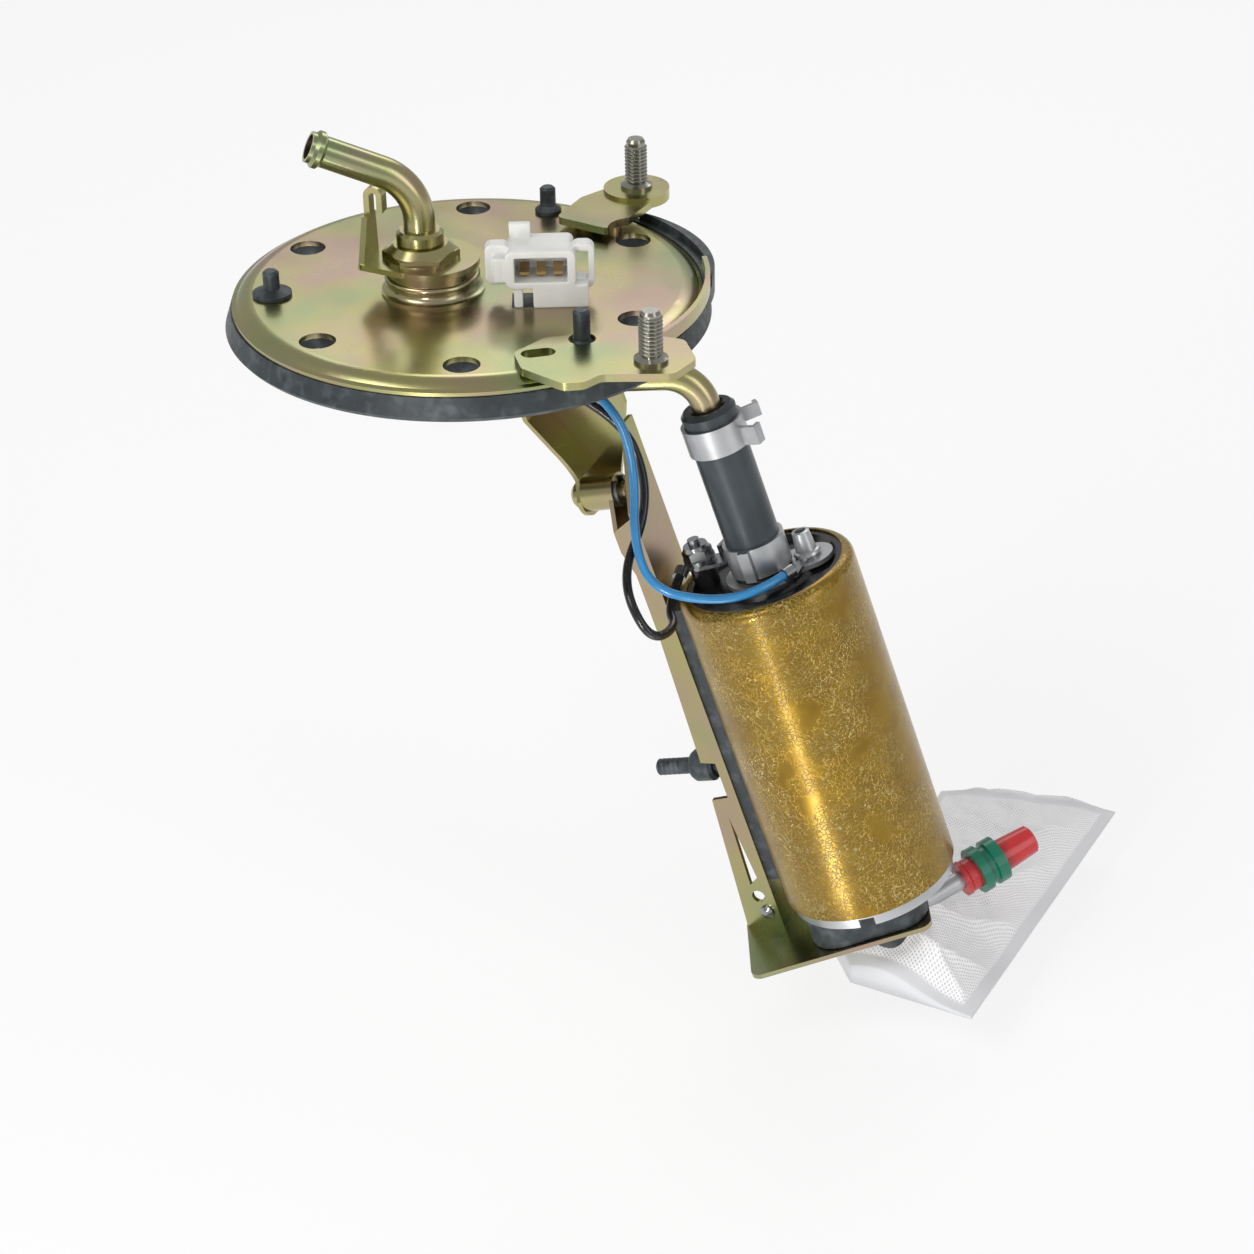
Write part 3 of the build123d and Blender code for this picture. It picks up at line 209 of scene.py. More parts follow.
# metal, rubber and plastic share this: drifting colour, grain in the roughness, a light bump if asked
def finishMaterial(name, main, second=None, third=None, driftScale=90, grainScale=500, rough=(0.3, 0.5),
                   bump=0, **sockets):
    material, tree, shader, vector = startMaterial(name)
    second = second or tuple(c * 0.85 for c in main)
    third = third or tuple(min(c * 1.1, 1) for c in main)
    drift = placeGroup(tree, driftGroup, vector, Scale=driftScale, Main=(*main, 1),
                       Second=(*second, 1), Third=(*third, 1))
    tree.links.new(drift.outputs["Color"], shader.inputs["Base Color"])
    grain = placeGroup(tree, grainGroup, vector, Scale=grainScale, Low=rough[0], High=rough[1])
    tree.links.new(grain.outputs["Roughness"], shader.inputs["Roughness"])
    if bump:
        bumpFrom(tree, shader, grain.outputs["Height"], bump, grainValues["bumpDepth"])
    for key, value in sockets.items():
        shader.inputs[key.replace("_", " ")].default_value = value
    material.diffuse_color = (*main, 1)
    return material


# the can's bright wrinkle colour is a painted glint, not the lacquer's own colour
canValues = {
    "base": (0.27, 0.163, 0.014), "deep": (0.225, 0.130, 0.010), "wrinkleGlint": (0.80, 0.64, 0.26),
    "metallic": 0.85, "roughness": 0.28, "coat": 0.22, "coatRoughness": 0.16,
    "crackleScale": 900.0, "lineWidth": 0.10, "bump": 0.9, "bumpDepth": 0.00036,
    "warpScale": 420.0, "warpDetail": 4.0, "warpReach": 0.003,
    "patchScale": 60.0, "patchDetail": 5.0, "patchFrom": 0.38, "patchTo": 0.72,
    "blotchScale": 160.0, "blotchDetail": 6.0, "blotchFrom": 0.4, "blotchTo": 0.62,
}


# fine wrinkles of a crackle lacquer, stronger in patches; the wrinkle lines give the bump and also carry a
# painted glint, a bright colour standing in for highlights
def makeCrackleGroup(values):
    tree, gin, gout = newGroup("crackle", [
        ("Vector", "NodeSocketVector", None), ("Scale", "NodeSocketFloat", 500.0),
        ("Base", "NodeSocketColor", (0.3, 0.2, 0.03, 1)), ("Deep", "NodeSocketColor", (0.2, 0.13, 0.02, 1)),
        ("Spark", "NodeSocketColor", (0.8, 0.7, 0.4, 1))],
        [("Color", "NodeSocketColor"), ("Height", "NodeSocketFloat")])
    vector = gin.outputs["Vector"]
    warp = noiseTexture(tree, vector, values["warpScale"], values["warpDetail"])
    push = addNode(tree, "ShaderNodeVectorMath", operation="MULTIPLY_ADD")
    feed(tree, push.inputs[0], warp.outputs["Color"])
    feed(tree, push.inputs[1], [values["warpReach"]] * 3)
    feed(tree, push.inputs[2], vector)
    cells = addNode(tree, "ShaderNodeTexVoronoi", feature="DISTANCE_TO_EDGE")
    tree.links.new(push.outputs["Vector"], cells.inputs["Vector"])
    tree.links.new(gin.outputs["Scale"], cells.inputs["Scale"])
    lines = mapRange(tree, cells.outputs["Distance"], 0.0, values["lineWidth"], 1.0, 0.0)
    patch = noiseTexture(tree, vector, values["patchScale"], values["patchDetail"])
    where = mapRange(tree, patch.outputs["Fac"], values["patchFrom"], values["patchTo"])
    wrinkleGlint = mathNode(tree, "MULTIPLY", lines, where)
    blotch = noiseTexture(tree, vector, values["blotchScale"], values["blotchDetail"])
    shade = mapRange(tree, blotch.outputs["Fac"], values["blotchFrom"], values["blotchTo"])
    ground = mixColours(tree, shade, gin.outputs["Base"], gin.outputs["Deep"])
    # painted glint: the wrinkle lines are mixed towards the bright colour
    tree.links.new(mixColours(tree, wrinkleGlint, ground, gin.outputs["Spark"]), gout.inputs["Color"])
    tree.links.new(wrinkleGlint, gout.inputs["Height"])
    return tree


def lacquerMaterial(name, values):
    material, tree, shader, vector = startMaterial(name)
    crackle = placeGroup(tree, makeCrackleGroup(values), vector, Scale=values["crackleScale"],
                         Base=(*values["base"], 1), Deep=(*values["deep"], 1), Spark=(*values["wrinkleGlint"], 1))
    tree.links.new(crackle.outputs["Color"], shader.inputs["Base Color"])
    bumpFrom(tree, shader, crackle.outputs["Height"], values["bump"], values["bumpDepth"])
    shader.inputs["Coat Weight"].default_value = values["coat"]
    shader.inputs["Coat Roughness"].default_value = values["coatRoughness"]
    shader.inputs["Metallic"].default_value = values["metallic"]
    shader.inputs["Roughness"].default_value = values["roughness"]
    material.diffuse_color = (*values["base"], 1)
    return material


clothValues = {
    "thread": (0.83, 0.83, 0.845), "opening": (0.66, 0.63, 0.65), "border": (0.60, 0.605, 0.63),
    "weavePitch": 0.00115, "weaveTurn": 18, "holeFrom": 0.25, "holeTo": 0.6,
    "threadCover": 0.90, "holeCover": 0.72, "bump": 0.6, "bumpDepth": -0.0003, "roughness": 0.55,
    "glow": 0.12,  # painted glow: white emission standing in for light that comes through from below
}


# rows of small round meshes between threads, with a plain heat-sealed border
def makeMeshClothGroup(values):
    tree, gin, gout = newGroup("meshCloth", [
        ("Vector", "NodeSocketVector", None), ("Pitch", "NodeSocketFloat", 4000.0),
        ("Thread", "NodeSocketColor", (0.8, 0.8, 0.8, 1)), ("Opening", "NodeSocketColor", (0.6, 0.6, 0.6, 1)),
        ("Border", "NodeSocketColor", (0.7, 0.7, 0.7, 1)), ("Hem", "NodeSocketFloat", 0.0)],
        [("Color", "NodeSocketColor"), ("Height", "NodeSocketFloat"), ("Cover", "NodeSocketFloat")])
    split = addNode(tree, "ShaderNodeSeparateXYZ")
    tree.links.new(gin.outputs["Vector"], split.inputs["Vector"])
    waves = []
    for axis in ("X", "Y"):
        phase = mathNode(tree, "MULTIPLY", split.outputs[axis], gin.outputs["Pitch"])
        waves.append(mathNode(tree, "SINE", phase))
    dots = mathNode(tree, "MULTIPLY", *waves)
    holes = mapRange(tree, dots, values["holeFrom"], values["holeTo"])
    woven = mathNode(tree, "SUBTRACT", 1.0, gin.outputs["Hem"])
    masked = mathNode(tree, "MULTIPLY", holes, woven)
    cloth = mixColours(tree, masked, gin.outputs["Thread"], gin.outputs["Opening"])
    cover = mapRange(tree, masked, 0.0, 1.0, values["threadCover"], values["holeCover"])
    tree.links.new(mixColours(tree, gin.outputs["Hem"], cloth, gin.outputs["Border"]), gout.inputs["Color"])
    tree.links.new(masked, gout.inputs["Height"])
    tree.links.new(cover, gout.inputs["Cover"])
    return tree


def meshClothMaterial(name, values):
    material, tree, shader, vector = startMaterial(name)
    hem = addNode(tree, "ShaderNodeAttribute", attribute_name="hem")
    turned = addNode(tree, "ShaderNodeMapping")
    turned.inputs["Rotation"].default_value = (0, 0, math.radians(values["weaveTurn"]))
    tree.links.new(vector, turned.inputs["Vector"])
    cloth = placeGroup(tree, makeMeshClothGroup(values), turned.outputs["Vector"],
                       Pitch=math.tau / values["weavePitch"], Thread=(*values["thread"], 1),
                       Opening=(*values["opening"], 1), Border=(*values["border"], 1))
    tree.links.new(hem.outputs["Fac"], cloth.inputs["Hem"])
    tree.links.new(cloth.outputs["Color"], shader.inputs["Base Color"])
    tree.links.new(cloth.outputs["Cover"], shader.inputs["Alpha"])
    bumpFrom(tree, shader, cloth.outputs["Height"], values["bump"], values["bumpDepth"])
    shader.inputs["Roughness"].default_value = values["roughness"]
    # painted glow: the cloth emits white light though it is no lamp
    shader.inputs["Emission Color"].default_value = (1, 1, 1, 1)
    shader.inputs["Emission Strength"].default_value = values["glow"]
    material.diffuse_color = (*values["thread"], 1)
    return material


finishes = {
    "zinc_steel": finishMaterial("yellowZinc", (0.40, 0.375, 0.165), (0.42, 0.31, 0.235), (0.30, 0.35, 0.18),
                                 driftScale=30, grainScale=45, rough=(0.2, 0.3), Metallic=1.0),
    "bright_steel": finishMaterial("brightSteel", (0.32, 0.33, 0.34), driftScale=60, grainScale=80,
                                   rough=(0.2, 0.28), Metallic=1.0),
    "spring_steel": finishMaterial("darkSteel", (0.20, 0.20, 0.21), driftScale=80, grainScale=80,
                                   rough=(0.3, 0.4), Metallic=1.0),
    "dark_rubber": finishMaterial("darkRubber", (0.022, 0.030, 0.034), (0.016, 0.021, 0.024),
                                  (0.060, 0.072, 0.080), driftScale=240, grainScale=700,
                                  rough=(0.38, 0.56), bump=0.1),
    "white_plastic": finishMaterial("milkyPlastic", (0.74, 0.74, 0.71), (0.70, 0.70, 0.67),
                                    (0.77, 0.77, 0.75), grainScale=300, rough=(0.3, 0.4),
                                    Subsurface_Weight=0.12, Subsurface_Scale=0.002),
    "black_plastic": finishMaterial("blackPlastic", (0.010, 0.010, 0.011), grainScale=300,
                                    rough=(0.14, 0.24)),
    "brass": finishMaterial("brass", (0.42, 0.27, 0.10), driftScale=200, rough=(0.3, 0.45), Metallic=0.8),
    "bronze": finishMaterial("bronze", (0.42, 0.26, 0.12), rough=(0.4, 0.6), Metallic=1.0),
    "copper": finishMaterial("copper", (0.62, 0.28, 0.16), rough=(0.25, 0.4), Metallic=1.0),
    "aluminium": finishMaterial("castAluminium", (0.50, 0.50, 0.51), grainScale=90, rough=(0.3, 0.42),
                                Metallic=1.0),
    "iron": finishMaterial("darkIron", (0.10, 0.10, 0.11), rough=(0.5, 0.7), Metallic=0.6),
    "carbon": finishMaterial("carbonBlock", (0.03, 0.03, 0.03), rough=(0.5, 0.7), bump=0.1),
    "gold_can": lacquerMaterial("goldLacquer", canValues),
    "white_mesh": meshClothMaterial("whiteMesh", clothValues),
    "red_rubber": finishMaterial("redRubber", (0.50, 0.024, 0.028), grainScale=200, rough=(0.18, 0.28)),
    "green_plastic": finishMaterial("greenPlastic", (0.004, 0.17, 0.10), grainScale=200, rough=(0.2, 0.3)),
    "blue_insulation": finishMaterial("blueInsulation", (0.030, 0.205, 0.44), grainScale=200,
                                      rough=(0.16, 0.26)),
    "black_insulation": finishMaterial("blackInsulation", (0.010, 0.010, 0.011), grainScale=200,
                                       rough=(0.16, 0.26)),
}
hoseRubber = finishMaterial("hoseRubber", (0.030, 0.040, 0.047), (0.022, 0.030, 0.036), (0.046, 0.058, 0.066),
                            driftScale=60, grainScale=300, rough=(0.28, 0.36))
paleSteel = finishMaterial("paleSteel", (0.50, 0.51, 0.52), driftScale=60, grainScale=80, rough=(0.3, 0.4),
                           Metallic=0.85)
studMetal = finishMaterial("studSteel", (0.33, 0.325, 0.28), grainScale=120, rough=(0.18, 0.28), Metallic=1.0)

for name, node in nodes.items():
    paint(node, finishes[slotOf[name]])
for name in ("pivot_sleeve", "pivot_pin", "pipe_collar"):
    paint(nodes[name], finishes["zinc_steel"])
for name in ("upper_clamp", "lower_clamp", "bottom_ring", "side_tube", "terminal_rivet", "retaining_plate"):
    paint(nodes[name], paleSteel)
print("materials placed on the CAD nodes")


# a profile of points (radius, height) in mm is extruded vertex by vertex and spun round Z
def lathe(name, outline, steps):
    deselectAll()
    bpy.ops.mesh.primitive_plane_add(size=mm)
    piece = bpy.context.object
    piece.name = name
    enterEdit(piece)
    bpy.ops.mesh.merge(type="CENTER")
    here = Vector((outline[0][0], 0, outline[0][1])) * mm
    bpy.ops.transform.translate(value=here)
    for radius, height in outline[1:]:
        there = Vector((radius, 0, height)) * mm
        bpy.ops.mesh.extrude_vertices_move(TRANSFORM_OT_translate={"value": there - here})
        here = there
    bpy.ops.mesh.select_all(action="SELECT")
    bpy.ops.mesh.spin(steps=steps, angle=math.tau, center=(0, 0, 0), axis=(0, 0, 1))
    bpy.ops.mesh.select_all(action="SELECT")
    bpy.ops.mesh.remove_doubles(threshold=0.00001)
    bpy.ops.mesh.normals_make_consistent(inside=False)
    bpy.ops.object.mode_set(mode="OBJECT")
    return piece


def settle(piece, place, material, body, angle=35):
    piece.matrix_world = place
    makeActive(piece)
    bpy.ops.object.transform_apply(location=True, rotation=True, scale=True)
    bpy.ops.object.shade_smooth_by_angle(angle=math.radians(angle))
    paint(piece, material)
    if body:
        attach(piece, body)
    return piece


studValues = {
    "radius": 3.0, "rootRadius": 2.52, "pitch": 1.0, "crestFrom": 0.42, "crestTo": 0.58, "bevel": 0.8,
    "collarRadius": 4.2, "collarHeight": 0.9, "filletReach": 0.2, "filletHeight": 1.4, "threadStart": 1.9,
    "tipInset": 0.5, "steps": 40, "smooth": 30,
    "near": {"place": (45.6, -53.4), "base": 0.0, "seat": 2.0, "height": 13.2},
    "far": {"place": (43.8, 50.0), "base": 1.6, "seat": 4.6, "height": 13.7},
}


def makeStud(name, values, stud):
    seat = stud["seat"]
    top = seat + stud["height"]
    crest, root, pitch, bevel = values["radius"], values["rootRadius"], values["pitch"], values["bevel"]
    outline = [(0, stud["base"]), (crest, stud["base"]), (crest, seat), (values["collarRadius"], seat),
               (values["collarRadius"], seat + values["collarHeight"]),
               (crest + values["filletReach"], seat + values["filletHeight"]),
               (root, seat + values["threadStart"])]
    level = seat + values["threadStart"]
    while level + pitch < top - bevel:
        outline += [(crest, level + pitch * values["crestFrom"]), (crest, level + pitch * values["crestTo"]),
                    (root, level + pitch)]
        level += pitch
    outline += [(root, top - bevel), (root - values["tipInset"], top), (0, top)]
    piece = lathe(name, outline, values["steps"])
    place = Matrix.Translation((stud["place"][0] * mm, stud["place"][1] * mm, 0))
    return settle(piece, place, studMetal, "flange", values["smooth"])


nearStud = makeStud("nearStudThread", studValues, studValues["near"])
farStud = makeStud("farStudThread", studValues, studValues["far"])
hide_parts("bracket_studs")
print("studs threaded")


# a new piece with its own mesh, in the place of a CAD node
def copyNode(nodeName, name):
    node = nodes[nodeName]
    piece = node.copy()
    piece.data = node.data.copy()
    piece.name = name
    piece.parent = None
    piece.matrix_world = node.matrix_world
    bpy.context.scene.collection.objects.link(piece)
    for key in list(piece.keys()):
        del piece[key]
    return piece


roundValues = {
    "connector": {"voxel": 0.00022, "rounds": 6, "factor": 0.5, "finish": finishes["white_plastic"]},
    "cushion": {"voxel": 0.0005, "rounds": 12, "factor": 0.5, "finish": finishes["dark_rubber"]},
}


# the copy is merged, remeshed and smoothed, so that its corners melt round
def softCopy(nodeName, name, values, body):
    piece = copyNode(nodeName, name)
    enterEdit(piece)
    bpy.ops.mesh.remove_doubles(threshold=0.00001)
    bpy.ops.object.mode_set(mode="OBJECT")
    remesh = piece.modifiers.new("remesh", "REMESH")
    remesh.mode = "VOXEL"
    remesh.voxel_size = values["voxel"]
    smooth = piece.modifiers.new("smooth", "SMOOTH")
    smooth.factor = values["factor"]
    smooth.iterations = values["rounds"]
    makeActive(piece)
    for modifier in ("remesh", "smooth"):
        bpy.ops.object.modifier_apply(modifier=modifier)
    bpy.ops.object.shade_smooth()
    paint(piece, values["finish"])
    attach(piece, body)
    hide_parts(nodeName)
    return piece


connector = softCopy("connector_housing", "connectorShell", roundValues["connector"], "flange")
cushion = softCopy("foot_cushion", "cushionBlock", roundValues["cushion"], "arm")
print("connector and cushion rounded")

# the pump's own frame: its axes, and the middle of the can's top in metres
armAxes = ((0.857403, -0.417448, 0.300994), (0.418183, 0.906011, 0.065319), (-0.299971, 0.069865, 0.951386))
armOrigin = (0.074, -0.028, -0.070)


def armPlace(x, y, z):
    spot = Vector(armOrigin) + Vector(armAxes[0]) * x * mm
    return spot + Vector(armAxes[1]) * y * mm + Vector(armAxes[2]) * z * mm


# turns a piece made round Z so that its Z axis points along the third of these axes
def turnTo(aside, across, along):
    return Matrix((Vector(aside), Vector(across), Vector(along))).transposed().to_4x4()


plugValues = {
    "seat": (-26.9, 0, -58.0), "length": 25.5, "neckLength": 7.4, "stemRadius": 2.3,
    "headRadius": 4.5, "headLength": 9.4, "headInset": 0.9, "headFrontInset": 0.8,
    "headFlat": 0.62, "headFront": 0.74, "headEnd": 0.78, "headStop": 0.82,
    "ribStart": 1.4, "ribPitch": 1.5, "ribDepth": 0.22, "ribHalf": 0.35, "steps": 32, "smooth": 40,
}


# rubber plug that holds the pad: a thick head behind a ribbed tail
def makePlug(values):
    head, reach = values["headRadius"], values["headLength"]
    stem, neck = values["stemRadius"], values["neckLength"]
    inset, half, length = values["headInset"], values["ribHalf"], values["length"]
    outline = [(0, 0), (stem, 0), (stem, neck), (head - inset, neck), (head, neck + inset),
               (head, neck + reach * values["headFlat"]),
               (head - values["headFrontInset"], neck + reach * values["headFront"]),
               (stem + 0.5, neck + reach * values["headEnd"]), (stem, neck + reach * values["headStop"])]
    level = neck + reach + values["ribStart"]
    while level < length - 1.2:
        outline += [(stem, level), (stem - values["ribDepth"], level + half), (stem, level + half * 2)]
        level += values["ribPitch"]
    outline += [(stem, length - 0.4), (stem - 0.5, length), (0, length)]
    piece = lathe("padPlug", outline, values["steps"])
    outwards = -Vector(armAxes[0])
    turn = turnTo(armAxes[1], outwards.cross(Vector(armAxes[1])), outwards)
    place = Matrix.Translation(armPlace(*values["seat"])) @ turn
    return settle(piece, place, finishes["dark_rubber"], "arm", values["smooth"])


plug = makePlug(plugValues)
print("plug set in the arm")

hoseValues = {"radius": 7.2, "bore": 4.1, "low": 1.2, "high": 47.7, "lowBevel": 0.3, "highBevel": 0.9,
              "rings": 26, "steps": 56, "bendLow": 12.0, "bendHigh": 34.0}


# short hose between its two bands
def makeHose(values):
    radius, bore, low, high = values["radius"], values["bore"], values["low"], values["high"]
    levels = [low + 1 + (high - low - 2) * n / values["rings"] for n in range(values["rings"] + 1)]
    outline = [(bore, low), (radius - values["lowBevel"], low), (radius, low + values["lowBevel"])]
    outline += [(radius, level) for level in levels]
    outline += [(radius - values["highBevel"], high), (bore + values["highBevel"], high)]
    outline += [(bore, level) for level in reversed(levels)] + [(bore, low)]
    piece = lathe("bentHose", outline, values["steps"])
    settle(piece, Matrix.Translation(armOrigin) @ turnTo(*armAxes), hoseRubber, None)
    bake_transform(piece)
    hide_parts("hose")
    return piece


hosePiece = makeHose(hoseValues)

# the valve's spring, copied with a mesh of its own and carried by the arm
spring = copyNode("check_spring", "valveSpring")
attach(spring, "arm")
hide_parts("check_spring")
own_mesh(spring)
print("hose and spring made")

# corners and creases in mm, the rest in metres; a crease is its start, end, height and spread
sockValues = {
    "outline": [(97, -44), (128, -62), (181, 36), (131, 49)],
    "leftBulge": (94, -32), "bulgePlace": 0.14, "farBow": 0.0035, "farBowPower": 6,
    "level": -0.190, "lowest": 0.0033, "halfDepth": 0.0026, "swellReach": 0.005, "foldReach": 0.0025,
    "hemDepth": 0.0003, "hemWidth": 0.0034, "hemOverlap": 0.0003, "hemFade": 0.0004, "foldWidth": 0.0021,
    "neck": (0.1105, -0.0365), "neckRise": 0.0085, "neckSpread": 0.0095, "cuffRadius": 0.0085,
    "creases": [((112, -34), (148, -22), 6.0, 4.5), ((114, -40), (127, -54), 4.6, 3.0),
                ((106, -38), (103, -44), 2.6, 2.4), ((120, -26), (160, 8), 4.6, 6.0),
                ((128, 0), (166, 24), 5.0, 5.0), ((120, -46), (140, -40), 3.8, 2.8)],
    "creaseSink": 1.1, "ripples": 110, "rippleHeight": 0.0016, "wanders": 45, "wanderHeight": 0.0009,
    "underShare": 0.2, "columns": 120, "rows": 160,
}


def fromEdge(point, start, end):
    along = end - start
    part = max(0.0, min(1.0, (point - start).dot(along) / along.length_squared))
    return (point - start - along * part).length


# where a point of the flat grid lies, seen from above
def sockPoint(values, across, along):
    low, right, high, far = [Vector(corner) * mm for corner in values["outline"]]
    bulge = Vector(values["leftBulge"]) * mm
    cut = values["bulgePlace"]
    if along < cut:
        left = low.lerp(bulge, along / cut)
    else:
        left = bulge.lerp(far, (along - cut) / (1 - cut))
    point = left.lerp(right.lerp(high, along), across)
    bow = math.sin(math.pi * across) * along ** values["farBowPower"] * values["farBow"]
    return point + (high - right).normalized() * bow


# the heights of the upper and the under sheet at a point, and how far it lies on the hem
def sockHeights(values, point):
    low, right, high, far = [Vector(corner) * mm for corner in values["outline"]]
    bulge = Vector(values["leftBulge"]) * mm
    wander = noise.noise(Vector((point.x * values["wanders"], point.y * values["wanders"], 3.1)))
    sealed = min(fromEdge(point, low, right), fromEdge(point, right, high))
    folded = min(fromEdge(point, far, high), fromEdge(point, bulge, far), fromEdge(point, low, bulge))
    onHem = max(values["hemWidth"] + values["hemOverlap"] - sealed, values["foldWidth"] - folded)
    onHem = max(0.0, min(1.0, onHem / values["hemFade"]))
    swell = 1 - math.exp(-max(sealed - values["hemWidth"], 0) / values["swellReach"])
    swell *= 1 - math.exp(-folded / values["foldReach"])
    depth = values["hemDepth"] + values["halfDepth"] * swell
    ridge = 0.0
    for start, end, tall, wide in values["creases"]:
        away = fromEdge(point, Vector(start) * mm, Vector(end) * mm)
        ridge += tall * math.exp(-away / (wide * mm))
    place = Vector((point.x * values["ripples"], point.y * values["ripples"], 0.4))
    ripple = noise.fractal(place, 1.0, 2.0, 3)
    height = (ridge - values["creaseSink"]) * mm * swell + ripple * values["rippleHeight"] * swell
    height += wander * values["wanderHeight"]
    beyond = max((point - Vector(values["neck"])).length - values["cuffRadius"], 0)
    rise = values["neckRise"] * math.exp(-(beyond / values["neckSpread"]) ** 2)
    upper = values["level"] + depth + height + rise
    return upper, values["level"] - depth + height * values["underShare"], onHem


# two sheets from one grid, bridged along their edges, then laid out point by point
def makeSock(values):
    deselectAll()
    bpy.ops.mesh.primitive_grid_add(x_subdivisions=values["columns"], y_subdivisions=values["rows"], size=1)
    sock = bpy.context.object
    sock.name = "strainerSock"
    upperCount = len(sock.data.vertices)
    enterEdit(sock)
    bpy.ops.mesh.duplicate()
    bpy.ops.mesh.flip_normals()
    bpy.ops.transform.translate(value=(0, 0, -0.5))
    bpy.ops.mesh.select_all(action="DESELECT")
    bpy.ops.mesh.select_mode(type="EDGE")
    bpy.ops.mesh.select_non_manifold()
    bpy.ops.mesh.bridge_edge_loops()
    bpy.ops.object.mode_set(mode="OBJECT")
    hem = sock.data.attributes.new("hem", "FLOAT", "POINT")
    for index, vertex in enumerate(sock.data.vertices):
        point = sockPoint(values, vertex.co.x + 0.5, vertex.co.y + 0.5)
        upper, under, onHem = sockHeights(values, point)
        level = upper if index < upperCount else under
        vertex.co = (point.x, point.y, max(level, values["level"] - values["lowest"]))
        hem.data[index].value = onHem
    enterEdit(sock)
    bpy.ops.mesh.normals_make_consistent(inside=False)
    bpy.ops.object.mode_set(mode="OBJECT")
    bpy.ops.object.shade_smooth()
    paint(sock, finishes["white_mesh"])
    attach(sock, "arm")
    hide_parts("strainer_sock")
    return sock


sock = makeSock(sockValues)
print("strainer sock shaped")

wireValues = {
    "radius": 0.0012, "resolution": 16, "sides": 5, "smooth": 50,
    "blueLength": 0.107, "blackLength": 0.120,
    "blue": [(22.5, -12, -7.4), (22.5, -12, -18), (37.5, -22, -26.5), (41.5, -26, -41.5), (40.5, -34, -57.5),
             (45, -43, -67), (60, -45, -69.5), (71.5, -45.5, -67), (78.5, -39.6, -65.4)],
    "black": [(16.5, -12, -7.4), (16.5, -12, -20), (38.5, -17, -32), (44, -20.5, -45), (43.5, -26, -56),
              (38.5, -36.5, -62.5), (38.8, -48, -67), (44.5, -53, -76), (51, -43, -78),
              (48.837, -35.967, -76.087), (52.170, -27.168, -72.319)],
}


# a lead along one smooth spline, and the points of its centreline
def makeWire(name, points, material, values):
    curve = bpy.data.curves.new(name, "CURVE")
    curve.dimensions = "3D"
    curve.resolution_u = values["resolution"]
    curve.use_fill_caps = True
    spline = curve.splines.new("NURBS")
    spline.points.add(len(points) - 1)
    for place, point in zip(spline.points, points):
        place.co = (*[value * mm for value in point], 1)
    spline.order_u = 3
    spline.use_endpoint_u = True
    wire = bpy.data.objects.new(name, curve)
    bpy.context.scene.collection.objects.link(wire)
    bpy.context.view_layer.update()
    line = [tuple(vertex.co) for vertex in wire.to_mesh().vertices]
    wire.to_mesh_clear()
    curve.bevel_depth = values["radius"]
    curve.bevel_resolution = values["sides"]
    makeActive(wire)
    bpy.ops.object.convert(target="MESH")
    wire = bpy.context.object
    enterEdit(wire)
    bpy.ops.mesh.remove_doubles(threshold=0.000001)
    bpy.ops.mesh.normals_make_consistent(inside=False)
    bpy.ops.object.mode_set(mode="OBJECT")
    bpy.ops.object.shade_smooth_by_angle(angle=math.radians(values["smooth"]))
    paint(wire, material)
    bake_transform(wire)
    return wire, line


blueWire, blueLine = makeWire("blueWire", wireValues["blue"], finishes["blue_insulation"], wireValues)
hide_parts("blue_wire")
blackWire, blackLine = makeWire("blackWire", wireValues["black"], finishes["black_insulation"], wireValues)
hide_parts("black_wire")
print("wires laid")

cameraValues = {
    "place": (0.036883, -0.739732, 0.325271), "right": (0.9997147, -0.01355095, -0.01966941),
    "up": (0.02381066, 0.50028344, 0.86553424), "sensor": 36, "lens": 36 * 3159.234 / 1254,
}
cameraData = bpy.data.cameras.new("camera")
cameraData.lens = cameraValues["lens"]
cameraData.sensor_width = cameraValues["sensor"]
camera = bpy.data.objects.new("camera", cameraData)
bpy.context.scene.collection.objects.link(camera)
rightWay, upWay = Vector(cameraValues["right"]), Vector(cameraValues["up"])
cameraTurn = turnTo(rightWay, upWay, rightWay.cross(upWay))
camera.matrix_world = Matrix.Translation(cameraValues["place"]) @ cameraTurn
bpy.context.scene.camera = camera
print("camera placed")

# the floor lies just under the sock's lowest place when the arm swings
floorValues = {"level": -0.2035, "size": 6.0, "color": (0.93, 0.93, 0.93, 1), "roughness": 0.9, "glow": 0.75}


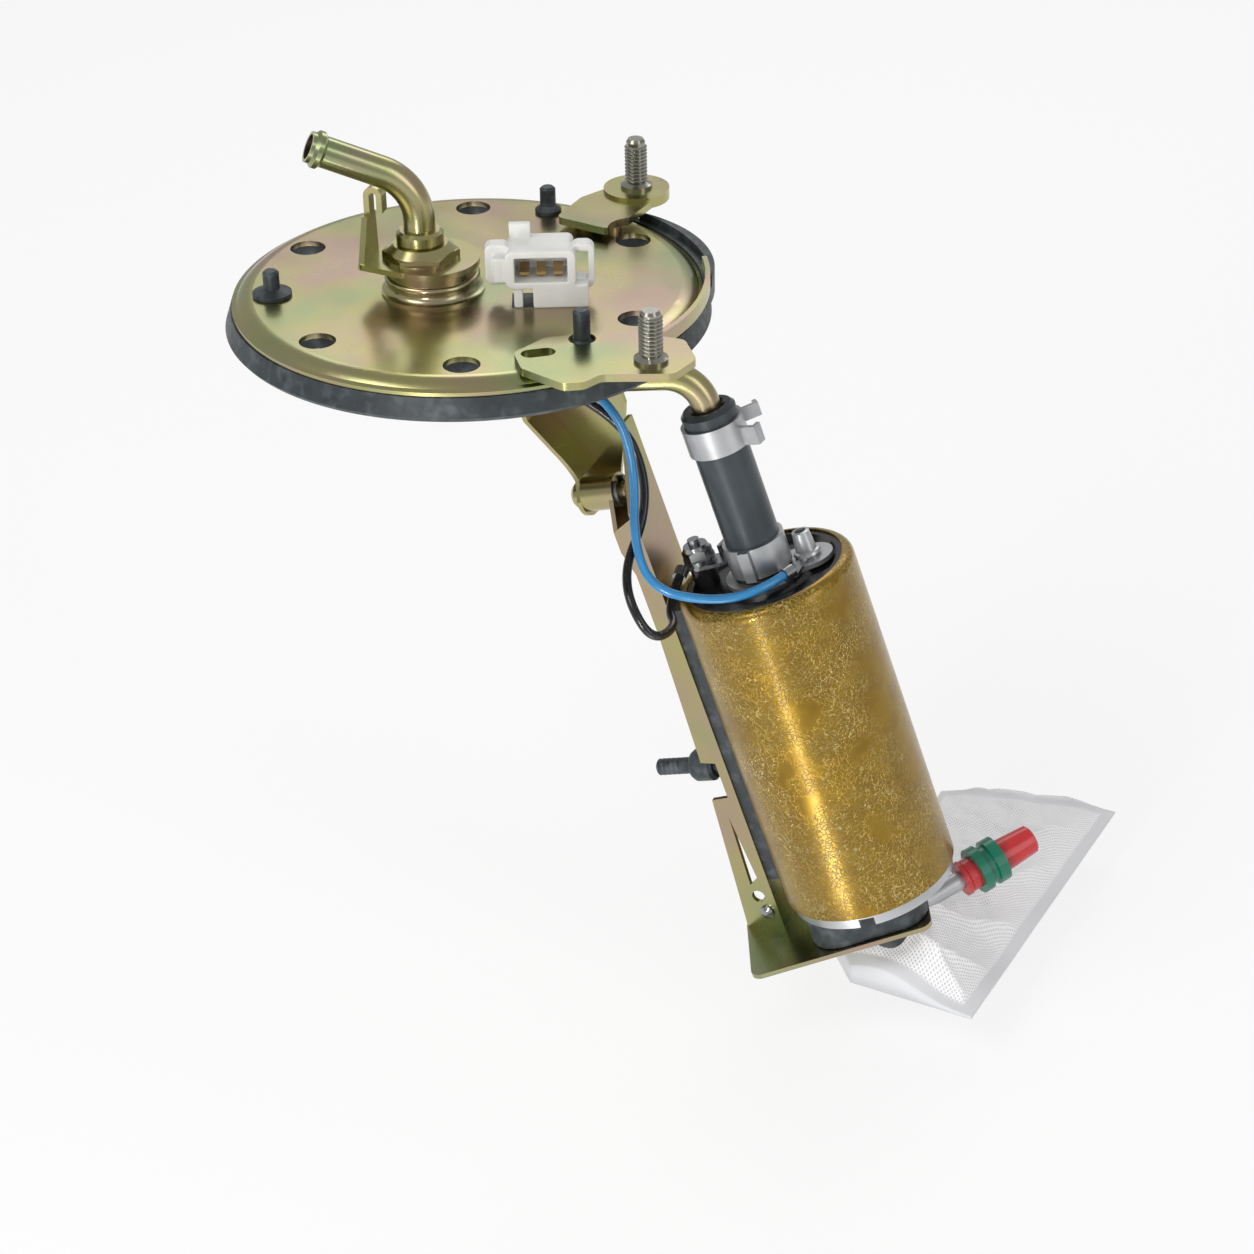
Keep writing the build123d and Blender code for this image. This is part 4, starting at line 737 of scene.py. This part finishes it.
# pale to the camera and in gloss, but still holding shadows
def floorMaterial(values):
    material = bpy.data.materials.new("paleFloor")
    material.use_nodes = True
    tree = material.node_tree
    shader = tree.nodes["Principled BSDF"]
    shader.inputs["Base Color"].default_value = values["color"]
    shader.inputs["Roughness"].default_value = values["roughness"]
    white = addNode(tree, "ShaderNodeEmission")
    white.inputs["Color"].default_value = (1, 1, 1, 1)
    rays = addNode(tree, "ShaderNodeLightPath").outputs
    seen = mathNode(tree, "ADD", rays["Is Camera Ray"], rays["Is Glossy Ray"])
    seen = mathNode(tree, "ADD", seen, rays["Is Transmission Ray"])
    share = mathNode(tree, "MULTIPLY", seen, values["glow"], use_clamp=True)
    both = addNode(tree, "ShaderNodeMixShader")
    tree.links.new(share, both.inputs["Fac"])
    tree.links.new(shader.outputs["BSDF"], both.inputs[1])
    tree.links.new(white.outputs["Emission"], both.inputs[2])
    tree.links.new(both.outputs["Shader"], tree.nodes["Material Output"].inputs["Surface"])
    return material


deselectAll()
bpy.ops.mesh.primitive_plane_add(size=floorValues["size"], location=(0, 0, floorValues["level"]))
floor = bpy.context.object
floor.name = "floor"
paint(floor, floorMaterial(floorValues))

# each box: place, target, size in metres, power in watts
lightValues = {
    "world": 0.5,
    "keyBox": ((-0.7, -0.5, 0.9), (0.02, 0, -0.08), (0.6, 0.6), 5),
    "stripBox": ((-0.19, -0.56, -0.07), (0.085, -0.03, -0.07), (0.035, 0.26), 1.6),
    "fillBox": ((0.9, -0.7, 0.4), (0.05, 0, -0.08), (0.4, 0.9), 2.4),
    "backBox": ((0.2, 0.9, 0.7), (0.05, 0, -0.05), (0.9, 0.4), 2.6),
    "glintBox": ((0.028, -0.215, -0.193), (0.028, -0.215, 0), (0.02, 0.25), 0.15),
    "glintTurn": -19,
}


def addSoftbox(name, place, target, size, power):
    data = bpy.data.lights.new(name, "AREA")
    data.shape = "RECTANGLE"
    data.size, data.size_y = size
    data.energy = power
    lamp = bpy.data.objects.new(name, data)
    bpy.context.scene.collection.objects.link(lamp)
    lamp.location = place
    lamp.visible_camera = False
    lamp.rotation_euler = (Vector(target) - Vector(place)).to_track_quat("-Z", "Y").to_euler()
    return lamp


world = bpy.data.worlds.new("studio")
bpy.context.scene.world = world
world.use_nodes = True
background = world.node_tree.nodes["Background"]
background.inputs["Color"].default_value = (1, 1, 1, 1)
background.inputs["Strength"].default_value = lightValues["world"]
for name in ("keyBox", "stripBox", "fillBox", "backBox"):
    addSoftbox(name, *lightValues[name])
# a low strip that faces up beside the floor and draws a long glint on the can
glint = addSoftbox("glintBox", *lightValues["glintBox"])
glint.rotation_euler = (math.pi, 0, math.radians(lightValues["glintTurn"]))
bpy.context.scene.view_settings.view_transform = "Standard"
print("floor and lights placed")
